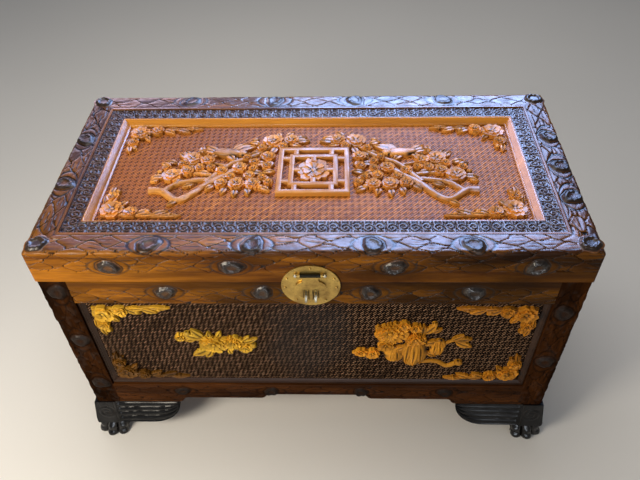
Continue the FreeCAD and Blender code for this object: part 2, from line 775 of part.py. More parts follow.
def staple(x):
    """A lug with a round eye, standing out of the lower plate."""
    eye_y, eye_z = -PLATE_FACE - STAPLE_RADIUS, SEAM - STAPLE_DROP
    left, right = x - STAPLE_HALF, x + STAPLE_HALF
    shank = box(left, right, eye_y, -PLATE_FACE, eye_z - STAPLE_RADIUS, eye_z + STAPLE_RADIUS)
    lug = shank.fuse(rod(STAPLE_RADIUS, (left, eye_y, eye_z), (right, eye_y, eye_z)))
    return lug.cut(rod(EYE_RADIUS, (left, eye_y, eye_z), (right, eye_y, eye_z)))


# Brass stop hinges


def sector(start, span, inner, outer, x0, x1):
    """A block between two radii about the hinge axis, over an arc in degrees above the outward horizontal."""
    def spot(radius, degrees):
        angle = math.radians(degrees)
        return (x0, HINGE_AXIS + radius * math.cos(angle), SEAM + radius * math.sin(angle))

    wire = outline(
        spot(inner, start),
        spot(outer, start),
        (spot(outer, start + span / 2), spot(outer, start + span)),
        spot(inner, start + span),
        (spot(inner, start + span / 2), spot(inner, start)),
    )
    return Part.Face(wire).extrude(Vector(x1 - x0, 0, 0))


def hinge_leaf(spans, other_spans, up):
    """A leaf on the back at the middle: a plate, its knuckles, and a stop that meets the other leaf's."""
    clear = HINGE_BARREL + KNUCKLE_GAP
    far = SEAM + up * HINGE_LEAF
    near = SEAM + up * (SEAM_GAP + 0.2)
    plate = box(-HINGE_HALF, HINGE_HALF, HALF_Y, HALF_Y + HINGE_THICK, min(near, far), max(near, far))
    for x0, x1 in other_spans:
        plate = plate.cut(
            rod(clear, (x0 - KNUCKLE_GAP, HINGE_AXIS, SEAM), (x1 + KNUCKLE_GAP, HINGE_AXIS, SEAM))
        )
    start = HINGE_STOP_START + 0.5 if up > 0 else -HINGE_STOP_START - HINGE_STOP_SPAN
    pieces = [plate, sector(start, HINGE_STOP_SPAN, clear, HINGE_STOP_RADIUS, -HINGE_HALF, HINGE_HALF)]
    for x0, x1 in spans:
        pieces.append(rod(HINGE_BARREL, (x0, HINGE_AXIS, SEAM), (x1, HINGE_AXIS, SEAM)))
        pieces.append(sector(start, HINGE_STOP_SPAN, HINGE_PIN + 1, clear + 1, x0, x1))
    bore = rod(HINGE_PIN + RUNNING, (-HINGE_HALF, HINGE_AXIS, SEAM), (HINGE_HALF, HINGE_AXIS, SEAM))
    return joined(pieces).cut(bore)


def hinge_knuckles():
    """The spans along X of the lid leaf's middle knuckle and of the case leaf's outer ones."""
    edge = HINGE_MIDDLE_HALF + KNUCKLE_GAP
    return [(-HINGE_MIDDLE_HALF, HINGE_MIDDLE_HALF)], [(-HINGE_HALF, -edge), (edge, HINGE_HALF)]


def at_hinges(shape):
    """A copy at each of the two hinges."""
    copies = []
    for side in (-1, 1):
        copy = shape.copy()
        copy.translate(Vector(side * HINGE_X, 0, 0))
        copies.append(copy)
    return copies


def hinge_pin():
    return rod(HINGE_PIN, (-HINGE_HALF, HINGE_AXIS, SEAM), (HINGE_HALF, HINGE_AXIS, SEAM))


# Screws and nails: where each goes in and the way it points out


def hinge_screw_places(up):
    """Three screws through a leaf: two near its far edge, one nearer the pin."""
    spots = [(-22.0, 25.0), (22.0, 25.0), (0.0, 16.0)]
    face = HALF_Y + HINGE_THICK
    return [
        (side * HINGE_X + x, face, SEAM + up * z) for side in (-1, 1) for x, z in spots
    ]


def plate_nail_places(angles):
    ring = PLATE_RADIUS - 7.0
    return [
        (ring * math.cos(math.radians(a)), -PLATE_FACE, PLATE_Z + ring * math.sin(math.radians(a))) for a in angles
    ]


def fastener(place, outward, shank, head):
    """A round-headed screw or nail: its shank in the wood, its head on the brass."""
    x, y, z = place
    body = rod(shank, (x, y - outward * SCREW_DEPTH, z), (x, y, z))
    return body.fuse(dome(head, place, (0, outward, 0)))


def drilled(shape, places, outward, shank):
    """The shape with a hole for each fastener's shank."""
    for x, y, z in places:
        near, far = (x, y + outward, z), (x, y - outward * SCREW_DEPTH, z)
        shape = shape.cut(rod(shank + RUNNING, near, far))
    return shape


def build():
    """Every piece of the chest by its name."""
    lid_screws, case_screws = hinge_screw_places(1), hinge_screw_places(-1)
    lid_nails, case_nails = plate_nail_places((25, 90, 155)), plate_nail_places((185, 235, 305, 355))
    pieces = {}

    for side, rail in lid_rails().items():
        pieces[f"lid_{side}_rail"] = rail
    pieces["lid_front_rail"] = drilled(pieces["lid_front_rail"], lid_nails, -1, NAIL_SHANK)
    pieces["lid_back_rail"] = drilled(pieces["lid_back_rail"], lid_screws, 1, SCREW_SHANK)
    pieces["lid_board"] = lid_board()
    pieces["lid_weave"] = lid_weave()
    pieces["scroll_border"] = scroll_border()
    pieces["lid_panel_moulding"] = lid_panel_moulding()

    ends = {}
    for side, (turn, half_length, half_depth) in SIDES.items():
        left_stile = stile(half_length, half_depth, LEFT_STILE_KNOTS[side])
        right_stile = flipped(stile(half_length, half_depth, RIGHT_STILE_KNOTS[side]), x=True)
        left_wing = wing(half_length, half_depth, WINGS[side])
        ends[side] = {
            "left": [turned(left_stile, turn), turned(left_wing, turn)],
            "right": [turned(right_stile, turn), turned(flipped(left_wing, x=True), turn)],
        }
        pieces[f"{side}_top_rail"] = turned(top_rail(half_length, half_depth, RAIL_KNOTS[side]), turn)
        pieces[f"{side}_apron"] = turned(apron(half_length, half_depth, WINGS[side]), turn)
        if side != "back":
            pieces[f"{side}_weave"] = turned(side_weave(half_length, half_depth), turn)
            pieces[f"{side}_panel_moulding"] = turned(panel_moulding(half_length, half_depth), turn)
    pieces["front_top_rail"] = drilled(pieces["front_top_rail"], case_nails, -1, NAIL_SHANK)
    pieces["back_top_rail"] = drilled(pieces["back_top_rail"], case_screws, 1, SCREW_SHANK)
    front_left_paw = paw()
    for corner, (left_end_of, right_end_of) in CORNERS.items():
        strip, bracket = ends[left_end_of]["left"]
        next_strip, next_bracket = ends[right_end_of]["right"]
        corner_paw = flipped(front_left_paw, "right" in corner, "back" in corner)
        pieces[f"post_{corner}"] = group([strip, next_strip])
        pieces[f"foot_{corner}"] = group([corner_paw, bracket, next_bracket])
    pieces.update(case_boards())

    panel_x, panel_y = HALF_X - LID_PANEL_INSET, HALF_Y - LID_PANEL_INSET
    pieces["lid_corner_carvings"] = group([raised(s, MAT_TOP) for s in corner_set(panel_x, panel_y)])
    branch = raised(flowering_branch(), MAT_TOP)
    pieces["lid_branch_left"] = branch
    pieces["lid_branch_right"] = flipped(branch, x=True)
    pieces["lid_medallion"] = raised(medallion(), MAT_TOP)
    pieces["front_corner_carvings"] = group(side_corner_set(HALF_X, HALF_Y))
    pieces["front_spray_right"] = front_spray(chrysanthemum_spray(), 200.0, 326.0)
    pieces["front_spray_left"] = front_spray(lily_spray(), -202.0, 330.0)
    end_corners = side_corner_set(HALF_Y, HALF_X)
    pieces["end_corner_carvings"] = group([turned(s, turn) for turn in (90, 270) for s in end_corners])

    half_space = box(-EVERYWHERE, EVERYWHERE, -EVERYWHERE, EVERYWHERE, LID_BOTTOM, EVERYWHERE)
    upper = joined([lock_disc().common(half_space), *hasp_lugs()])
    below = box(-EVERYWHERE, EVERYWHERE, -EVERYWHERE, EVERYWHERE, 0, SEAM)
    pieces["lock_plate_upper"] = drilled(upper, lid_nails, -1, NAIL_SHANK)
    pieces["lock_plate_lower"] = drilled(lock_disc().common(below), case_nails, -1, NAIL_SHANK)
    pieces["padlock_staples"] = group([staple(-STAPLE_X), staple(STAPLE_X)])
    pieces["hasp"] = hasp()
    pieces["hasp_pin"] = hasp_pin()

    lid_spans, case_spans = hinge_knuckles()
    lid_leaves = group(at_hinges(hinge_leaf(lid_spans, case_spans, 1)))
    case_leaves = group(at_hinges(hinge_leaf(case_spans, lid_spans, -1)))
    pieces["hinge_lid_leaves"] = drilled(lid_leaves, lid_screws, 1, SCREW_SHANK)
    pieces["hinge_case_leaves"] = drilled(case_leaves, case_screws, 1, SCREW_SHANK)
    pieces["hinge_pins"] = group(at_hinges(hinge_pin()))
    pieces["lid_screws"] = group([fastener(p, 1, SCREW_SHANK, SCREW_HEAD) for p in lid_screws])
    pieces["case_screws"] = group([fastener(p, 1, SCREW_SHANK, SCREW_HEAD) for p in case_screws])
    pieces["lid_plate_nails"] = group([fastener(p, -1, NAIL_SHANK, NAIL_HEAD) for p in lid_nails])
    pieces["case_plate_nails"] = group([fastener(p, -1, NAIL_SHANK, NAIL_HEAD) for p in case_nails])
    return pieces


def main():
    os.makedirs("parts", exist_ok=True)
    pieces = build()
    for name, shape in pieces.items():
        shape.exportStep(f"parts/{name}.step")
        solids = shape.Solids
        print(f"{name}: {len(solids)} solid(s), volume {shape.Volume / 1000:.1f} cm3, valid {shape.isValid()}")
    print(f"{len(pieces)} pieces")


main()
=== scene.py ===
import bpy
import bmesh
import math
import numpy as np
from mathutils import Matrix


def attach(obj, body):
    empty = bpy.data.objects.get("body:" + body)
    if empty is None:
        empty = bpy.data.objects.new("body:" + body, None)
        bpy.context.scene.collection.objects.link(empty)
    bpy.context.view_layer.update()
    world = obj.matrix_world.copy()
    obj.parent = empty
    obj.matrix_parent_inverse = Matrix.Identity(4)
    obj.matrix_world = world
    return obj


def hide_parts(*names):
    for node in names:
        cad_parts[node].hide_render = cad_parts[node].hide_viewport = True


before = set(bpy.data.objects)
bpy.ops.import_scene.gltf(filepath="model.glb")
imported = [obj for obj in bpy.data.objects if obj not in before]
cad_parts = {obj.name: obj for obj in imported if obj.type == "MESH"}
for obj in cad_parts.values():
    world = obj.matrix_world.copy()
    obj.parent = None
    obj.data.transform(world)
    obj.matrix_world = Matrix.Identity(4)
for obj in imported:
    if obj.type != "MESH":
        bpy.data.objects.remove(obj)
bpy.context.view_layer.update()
print("frame loaded:", len(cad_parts), "nodes")

mm = 0.001  # shapes are worked out in millimetres
# the solids' own sizes: X along the front, Y to the back, Z up from the floor
chest = dict(
    halfLong=510.0, halfDeep=251.0, top=605.0, seam=529.0, lidBottom=529.3, flangeUnder=585.0, matTop=587.0,
    bark=52.0, scroll=32.0, lidMould=16.0, web=34.0, cornerRound=12.0, edgeRound=8.0,
    strip=14.0, mat=2.0, stile=58.0, railUnder=466.0, apronTop=184.0, panelMould=12.0, footTop=112.0,
)
panelMiddle = (chest["railUnder"] + chest["apronTop"]) / 2
carvedSides = ("front", "left", "right")  # the back of the case is plain


def oneSide(uAxis, nAxis):
    # half its length, its distance from the middle, where u and the outward n point, and the way its grain runs
    half, out = chest["halfLong"], chest["halfDeep"]
    if uAxis[0]:
        return dict(half=half, out=out, uAxis=uAxis, nAxis=nAxis, grain="x")
    return dict(half=out, out=half, uAxis=uAxis, nAxis=nAxis, grain="y")


sides = {
    "front": oneSide((1, 0), (0, -1)), "right": oneSide((0, 1), (1, 0)),
    "back": oneSide((-1, 0), (0, 1)), "left": oneSide((0, -1), (-1, 0)),
}


def trio(a, b, c):
    # three arrays, spread to one shape, as rows of three
    return np.stack(np.broadcast_arrays(a, b, c), -1)


def place(side, u, n, z):
    # side coordinates in mm (u along, n outward, z up) to metres in the frame
    (ux, uy), (nx, ny) = sides[side]["uAxis"], sides[side]["nAxis"]
    return trio(u * ux + n * nx, u * uy + n * ny, z) * mm


def gridQuads(nu, nv, wrapU=False, wrapV=False):
    # corners of a grid's quads, the points running along v first
    u, v = np.meshgrid(np.arange(nu if wrapU else nu - 1), np.arange(nv if wrapV else nv - 1), indexing="ij")
    u1, v1 = (u + 1) % nu, (v + 1) % nv
    return np.stack([u * nv + v, u1 * nv + v, u1 * nv + v1, u * nv + v1], -1).reshape(-1, 4)


def closedSweep(nu, nv):
    # faces of a closed profile (v) carried along u, with a cap at each end
    last = (nu - 1) * nv
    return [gridQuads(nu, nv, wrapV=True), np.arange(nv)[None, ::-1], np.arange(last, last + nv)[None]]


def manySweeps(count, nu, nv):
    # the same for many small closed sweeps in one mesh
    starts = (np.arange(count) * nu * nv)[:, None, None]
    return [(faces[None] + starts).reshape(-1, faces.shape[1]) for faces in closedSweep(nu, nv)]


def joinShapes(shapes):
    # (points, faces, marks) triples into one
    points, faces, marks, start = [], [], [], 0
    for p, f, m in shapes:
        p = p.reshape(-1, 3)
        points.append(p)
        marks.append(m.reshape(-1, 3))
        faces += [q + start for q in f]
        start += len(p)
    return np.concatenate(points), faces, np.concatenate(marks)


def makeMesh(name, points, faceSets, sharp):
    # a smooth mesh with every face turned outward and its sharper edges kept
    corners = np.concatenate([f.ravel() for f in faceSets]).astype(np.int32)
    sizes = np.concatenate([np.full(len(f), f.shape[1]) for f in faceSets])
    mesh = bpy.data.meshes.new(name)
    mesh.vertices.add(len(points))
    mesh.vertices.foreach_set("co", points.ravel())
    mesh.loops.add(len(corners))
    mesh.loops.foreach_set("vertex_index", corners)
    mesh.polygons.add(len(sizes))
    mesh.polygons.foreach_set("loop_start", (np.cumsum(sizes) - sizes).astype(np.int32))
    mesh.update(calc_edges=True)
    work = bmesh.new()
    work.from_mesh(mesh)
    bmesh.ops.recalc_face_normals(work, faces=work.faces)
    work.to_mesh(mesh)
    work.free()
    mesh.shade_smooth()
    mesh.set_sharp_from_angle(angle=math.radians(sharp))
    return mesh


def makePiece(name, shape, body, material, replaced=(), sharp=40.0, polish=0.1, strips=None):
    # a piece from (points, faces, marks) with its finish, riding a body in place of the CAD nodes it replaces
    points, faceSets, marks = shape
    points = np.asarray(points, np.float32).reshape(-1, 3)
    mesh = makeMesh(name, points, faceSets, sharp)
    if marks is not None:  # cuts, knots, tone and polish as one colour
        rgba = np.ones((len(points), 4), np.float32)
        rgba[:, :3] = marks.reshape(-1, 3)
        rgba[:, 3] = np.ravel(polish)
        mesh.color_attributes.new("marks", "FLOAT_COLOR", "POINT").data.foreach_set("color", rgba.ravel())
    if strips is not None:
        layer = mesh.attributes.new("strips", "FLOAT_VECTOR", "POINT")
        layer.data.foreach_set("vector", np.asarray(strips, np.float32).ravel())
    mesh.materials.append(material)
    piece = bpy.data.objects.new(name, mesh)
    bpy.context.scene.collection.objects.link(piece)
    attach(piece, body)
    if replaced:
        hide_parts(*replaced)


def smooth(low, high, x):
    # an S-curve from 0 at low to 1 at high; low may be the larger
    t = np.clip((x - low) / (high - low), 0, 1)
    return t * t * (3 - 2 * t)


def bell(x, middle, width):
    # 1 at the middle, falling away on both sides
    return np.exp(-(((x - middle) / width) ** 2))


noiseSize = 64
noiseTable = np.random.default_rng(7).random((noiseSize, noiseSize))


def tableAt(i, j):
    # the table repeats in both directions
    return noiseTable[i % noiseSize, j % noiseSize]


def softNoise(x, y, seed=0):
    # value noise 0..1: smooth blends between the numbers of a repeating table
    x, y = np.broadcast_arrays(x + seed * 7.31, y + seed * 3.77)
    i, j = np.floor(x).astype(int), np.floor(y).astype(int)
    a, b = smooth(0, 1, x - i), smooth(0, 1, y - j)
    near = tableAt(i, j) * (1 - a) + tableAt(i + 1, j) * a
    far = tableAt(i, j + 1) * (1 - a) + tableAt(i + 1, j + 1) * a
    return near * (1 - b) + far * b


def unevenness(x, y, seed):
    # the same noise about zero
    return softNoise(x, y, seed) - 0.5


def feed(tree, socket, value):
    # a socket takes another node's output or a plain value
    if isinstance(value, bpy.types.NodeSocket):
        tree.links.new(value, socket)
    else:
        socket.default_value = (*value, 1.0) if socket.type == "RGBA" else value


def addNode(tree, kind, inputs=None, **settings):
    node = tree.nodes.new("ShaderNode" + kind)
    for key, value in settings.items():
        setattr(node, key, value)
    for key, value in (inputs or {}).items():
        feed(tree, node.inputs[key], value)
    return node


def mixColour(tree, fac, a, b, blend="MIX"):
    inputs = {0: fac, 6: a, 7: b}
    return addNode(tree, "Mix", inputs, data_type="RGBA", blend_type=blend, clamp_factor=True).outputs[2]


def mathNode(tree, operation, *values, clamp=False):
    return addNode(tree, "Math", dict(enumerate(values)), operation=operation, use_clamp=clamp).outputs[0]


def rangeNode(tree, value, low, high, toLow=0.0, toHigh=1.0):
    inputs = {"Value": value, "From Min": low, "From Max": high, "To Min": toLow, "To Max": toHigh}
    return addNode(tree, "MapRange", inputs, clamp=True).outputs[0]


def noiseNode(tree, vector, scale, detail, **more):
    return addNode(tree, "TexNoise", {"Vector": vector, "Scale": scale, "Detail": detail, **more}).outputs["Fac"]


def mapNode(tree, vector, **how):
    return addNode(tree, "Mapping", {"Vector": vector, **how}).outputs[0]


def objectSpot(tree):
    return addNode(tree, "TexCoord").outputs["Object"]


def meshMarks(tree):
    # the four marks that makePiece puts on the mesh
    marks = addNode(tree, "VertexColor", layer_name="marks").outputs
    parts = addNode(tree, "SeparateColor", {"Color": marks["Color"]}).outputs
    return parts["Red"], parts["Green"], parts["Blue"], marks["Alpha"]


def newGroup(name, inputs, outputs):
    # sockets are given as name=kind
    group = bpy.data.node_groups.new(name, "ShaderNodeTree")
    for way, sockets in (("INPUT", inputs), ("OUTPUT", outputs)):
        for socket, kind in sockets.items():
            group.interface.new_socket(socket, in_out=way, socket_type="NodeSocket" + kind)
    return group, group.nodes.new("NodeGroupInput").outputs, group.nodes.new("NodeGroupOutput").inputs


def buildGrain():
    # long streaks and fine pores from noise stretched along the grain
    group, given, result = newGroup(
        "woodGrain", dict(Vector="Vector", Light="Color", Dark="Color"),
        dict(Color="Color", Height="Float", Gloss="Float"),
    )
    broad = noiseNode(group, given["Vector"], 1.0, 5.0, Roughness=0.62, Distortion=0.6)
    fine = noiseNode(group, given["Vector"], 7.0, 3.0, Roughness=0.7)
    streak, pore = rangeNode(group, broad, 0.34, 0.66), rangeNode(group, fine, 0.40, 0.62)
    both = mathNode(group, "MULTIPLY", streak, rangeNode(group, pore, 0.0, 1.0, 0.62, 1.0))
    feed(group, result["Color"], mixColour(group, both, given["Dark"], given["Light"]))
    feed(group, result["Height"], pore)
    feed(group, result["Gloss"], rangeNode(group, broad, 0.3, 0.7, 0.42, 0.24))
    return group


def buildWax():
    # old dark wax: it gathers in the cuts marked on the mesh, and the knots are stained through
    group, given, result = newGroup(
        "darkWax", dict(Color="Color", Cuts="Float", Knots="Float", Tone="Float", Wax="Color", Stain="Color"),
        dict(Color="Color"),
    )
    value = rangeNode(group, given["Tone"], 0.0, 1.0, 0.2, 1.8)
    shade = addNode(group, "HueSaturation", {"Color": given["Color"], "Value": value}).outputs["Color"]
    cut = mixColour(group, rangeNode(group, given["Cuts"], 0.12, 0.85), shade, given["Wax"])
    knot = mixColour(group, rangeNode(group, given["Knots"], 0.1, 0.9, 0.0, 0.93), cut, given["Stain"])
    feed(group, result["Color"], knot)
    return group


grainGroup, waxGroup = buildGrain(), buildWax()


def newMaterial(name, fixed):
    material = bpy.data.materials.new(name)
    material.use_nodes = True
    tree = material.node_tree
    tree.nodes.clear()
    shader = addNode(tree, "BsdfPrincipled", fixed)
    addNode(tree, "OutputMaterial", {0: shader.outputs[0]})
    return material, tree, shader.inputs


def finishSurface(tree, surface, base, rough, height, strength, depth):
    # what every finish has: colour, roughness and a fine bump
    bump = addNode(tree, "Bump", {"Height": height, "Strength": strength, "Distance": depth})
    for key, value in (("Base Color", base), ("Roughness", rough), ("Normal", bump.outputs[0])):
        feed(tree, surface[key], value)


def grainOn(tree, along, light, dark, across, length):
    vector = mapNode(tree, objectSpot(tree), Scale=[length if axis == along else across for axis in "xyz"])
    return addNode(tree, "Group", {"Vector": vector, "Light": light, "Dark": dark}, node_tree=grainGroup).outputs


waxTones = dict(Wax=(0.006, 0.004, 0.003), Stain=(0.018, 0.014, 0.012))


def carvedWood(name, along, light, dark, coat, specular=0.03, soft=0.34):
    # stained and lacquered wood with waxed cuts, read from the mesh's own marks; their alpha says where it is
    # polished, and the lacquer is worn in patches
    material, tree, surface = newMaterial(name, {"Coat Roughness": soft, "Specular IOR Level": specular})
    grain = grainOn(tree, along, light, dark, across=26.0, length=2.2)
    cuts, knots, tone, polish = meshMarks(tree)
    marked = dict(Color=grain["Color"], Cuts=cuts, Knots=knots, Tone=tone, **waxTones)
    waxed = addNode(tree, "Group", marked, node_tree=waxGroup).outputs["Color"]
    worn = rangeNode(tree, noiseNode(tree, objectSpot(tree), 38.0, 4.0), 0.38, 0.6, 0.55 * coat, coat)
    feed(tree, surface["Coat Weight"], mathNode(tree, "MULTIPLY", polish, worn))
    finishSurface(tree, surface, waxed, grain["Gloss"], grain["Height"], 0.12, 0.6 * mm)
    return material


def plainWood(name, along, light, dark, rough, coat=0.0):
    # boards with no carving: the same grain, less finish
    fixed = {"Coat Weight": coat, "Coat Roughness": 0.2, "Specular IOR Level": 0.12}
    material, tree, surface = newMaterial(name, fixed)
    grain = grainOn(tree, along, light, dark, across=18.0, length=1.6)
    gloss = rangeNode(tree, grain["Gloss"], 0.24, 0.42, rough - 0.08, rough + 0.08)
    finishSurface(tree, surface, grain["Color"], gloss, grain["Height"], 0.2, 0.8 * mm)
    return material


def wovenBamboo(name, light, dark, gap, cross, diveShade, vary, coat=0.0, specular=0.02, patch=None):
    # split strips: each has its own tone and fine fibres; the cross set is darker, a two-tone mat with painted shade
    # on the strips turned from the light; and painted shade darkens the low places where strips dive under
    fixed = {"Coat Weight": coat, "Coat Roughness": 0.3, "Specular IOR Level": specular}
    material, tree, surface = newMaterial(name, fixed)
    stripTone, slash, level, _ = meshMarks(tree)
    where = objectSpot(tree)
    strips = addNode(tree, "Attribute", attribute_name="strips").outputs["Vector"]
    fibre = noiseNode(tree, mapNode(tree, strips, Scale=(0.06, 1.6, 1.0)), 1.0, 2.0)
    cloud = noiseNode(tree, where, 7.0, 3.0)
    own, shared = mathNode(tree, "MULTIPLY", stripTone, vary), mathNode(tree, "MULTIPLY", cloud, 1.0 - vary)
    streaks = rangeNode(tree, fibre, 0.3, 0.7, 0.7, 1.2)
    tone = mathNode(tree, "MULTIPLY", mathNode(tree, "ADD", own, shared), streaks, clamp=True)
    strip = mixColour(tree, rangeNode(tree, tone, 0.2, 0.75), dark, light)
    # the cross set is painted darker: a two-tone mat, and painted shade on the strips turned from the light
    strip = mixColour(tree, slash, mixColour(tree, 1.0, strip, 3 * (cross,), "MULTIPLY"), strip)
    # painted shade: where the mat is low, the strips take the dark gap colour
    shaded = mixColour(tree, rangeNode(tree, level, *diveShade), gap, strip)
    if patch:  # a dull darker patch on the mat
        spot = mapNode(tree, where, Location=patch["centre"], Scale=patch["scale"])
        far = addNode(tree, "VectorMath", {0: spot}, operation="LENGTH").outputs["Value"]
        ragged = mathNode(tree, "ADD", far, rangeNode(tree, cloud, 0.3, 0.7, -0.35, 0.35))
        patchWeight = rangeNode(tree, ragged, 0.45, 1.05, patch["strength"], 0.0)
        shaded = mixColour(tree, patchWeight, shaded, patch["tone"])
    finishSurface(tree, surface, shaded, rangeNode(tree, cloud, 0.3, 0.7, 0.36, 0.5), fibre, 0.15, 0.4 * mm)
    return material


def wornMetal(name, light, dark, paintedShadow=None):
    # dull sheet metal: cloudy tarnish, fine scratches, darker freckles, and a painted shadow, black, on the hinge
    # barrel and round the staples
    material, tree, surface = newMaterial(name, {"Metallic": 1.0})
    where = objectSpot(tree)
    cloud = noiseNode(tree, where, 45.0, 6.0, Roughness=0.6)
    freckle = noiseNode(tree, where, 420.0, 2.0)
    scratch = mapNode(tree, where, Scale=(1500.0, 300.0, 80.0), Rotation=(0.0, 0.5, 0.0))
    base = mixColour(tree, rangeNode(tree, cloud, 0.35, 0.68), light, dark)
    base = mixColour(tree, rangeNode(tree, freckle, 0.62, 0.74, 0.0, 0.7), base, (0.12, 0.075, 0.03))
    if paintedShadow:
        spot = addNode(tree, "SeparateXYZ", {"Vector": where}).outputs

        def apart(value, middle, size):
            gap = mathNode(tree, "ABSOLUTE", mathNode(tree, "SUBTRACT", value, middle))
            return mathNode(tree, "DIVIDE", gap, size)

        # painted shadow: the hinge barrel and the slots round the staples are darkened to black where shade falls
        barrel = rangeNode(tree, spot["Z"], *paintedShadow["barrel"])
        aside = apart(mathNode(tree, "ABSOLUTE", spot["X"]), paintedShadow["eyeX"], paintedShadow["wide"])
        far = mathNode(tree, "MAXIMUM", aside, apart(spot["Z"], paintedShadow["eyeZ"], paintedShadow["tall"]))
        ragged = mathNode(tree, "ADD", far, rangeNode(tree, cloud, 0.3, 0.7, -0.25, 0.25))
        shadowWeight = mathNode(tree, "MAXIMUM", barrel, rangeNode(tree, ragged, 0.7, 1.1, 0.9, 0.0))
        base = mixColour(tree, shadowWeight, base, (0.02, 0.018, 0.013))
    rough = rangeNode(tree, cloud, 0.3, 0.7, 0.35, 0.52)
    finishSurface(tree, surface, base, rough, noiseNode(tree, scratch, 1.0, 1.0), 0.12, 0.3 * mm)
    return material


def eachWay(make, name, axes, light, dark, **more):
    # one material for each way that the grain runs
    return {axis: make(name + axis.upper(), axis, light, dark, **more) for axis in axes}


frameWood = eachWay(carvedWood, "frameWood", "xy", (0.38, 0.142, 0.010), (0.085, 0.027, 0.004), coat=0.8, soft=0.28)
lowWood = eachWay(carvedWood, "lowWood", "xyz", (0.075, 0.025, 0.006), (0.014, 0.005, 0.002), coat=0.4, specular=0.0)
scrollWood = eachWay(carvedWood, "scrollWood", "xy", (0.10, 0.045, 0.024), (0.035, 0.016, 0.01), coat=0.95)
pawWood = carvedWood("pawWood", "z", (0.012, 0.012, 0.013), (0.004, 0.004, 0.005), coat=1.0, soft=0.2)
mouldWood = plainWood("mouldWoodX", "x", (0.68, 0.28, 0.026), (0.36, 0.13, 0.014), rough=0.34, coat=0.75)
sideMouldWood = eachWay(
    plainWood, "sideMouldWood", "xy", (0.052, 0.024, 0.013), (0.020, 0.009, 0.005), rough=0.4, coat=0.12)
boardWood = eachWay(plainWood, "boardWood", "xy", (0.33, 0.19, 0.09), (0.19, 0.1, 0.045), rough=0.55)
backWood = plainWood("backWoodX", "x", (0.16, 0.062, 0.015), (0.07, 0.026, 0.008), rough=0.42, coat=0.1)
honeyWood = carvedWood("honeyWood", "x", (0.66, 0.29, 0.05), (0.42, 0.16, 0.025), coat=1.0, soft=0.42)
goldWood = carvedWood("goldWood", "x", (0.66, 0.28, 0.022), (0.36, 0.135, 0.012), coat=0.2)
warmGold = carvedWood("warmGold", "x", (0.82, 0.37, 0.032), (0.48, 0.20, 0.015), coat=0.2)
# painted light: a brighter, yellower copy of the gold for the front's upper left corner and its left spray, where the
# warm light falls
litGold = carvedWood("litGold", "x", (0.80, 0.50, 0.052), (0.41, 0.205, 0.016), coat=0.2)
# painted shade: a darker copy of the gold for the front's lower left corner, which lies in shade
shadedGold = carvedWood("shadedGold", "x", (0.16, 0.070, 0.012), (0.05, 0.021, 0.004), coat=0.2)
lidBamboo = wovenBamboo(
    "lidBamboo", (0.90, 0.33, 0.054), (0.44, 0.14, 0.022), gap=(0.035, 0.009, 0.003),
    cross=0.85, diveShade=(0.18, 0.98), vary=0.6, coat=0.1, specular=0.04,
)
sideBamboo = wovenBamboo(
    "sideBamboo", (0.68, 0.395, 0.23), (0.16, 0.083, 0.043), gap=(0.0015, 0.0008, 0.0005),
    cross=0.6, diveShade=(0.62, 1.0), vary=0.65,
    patch=dict(centre=(0.07, 0.0, -1.72), scale=(10.5, 0.0, 5.3), tone=(0.03, 0.03, 0.032), strength=0.42),
)
brassTones = (0.58, 0.39, 0.11), (0.32, 0.20, 0.06)
brass = wornMetal("wornBrass", *brassTones)
haspBrass = wornMetal(  # painted shadow on the barrel and round the staples, in metres
    "haspBrass", *brassTones, dict(barrel=(0.5485, 0.5500), eyeX=0.009, eyeZ=0.499, wide=0.0075, tall=0.016))
paleMetal = wornMetal("paleMetal", (0.6, 0.57, 0.47), (0.36, 0.34, 0.27))
print("finishes made:", len(bpy.data.materials))

barkCut = dict(
    half=30.0, rise=15.5, jitterU=0.8, jitterW=0.5, power=1.15, warp=5.0, cutWidth=0.07, cutDepth=1.8,
    pillow=0.8, vein=0.3, veinWidth=0.055, veinDepth=0.8, veined=0.35,
)


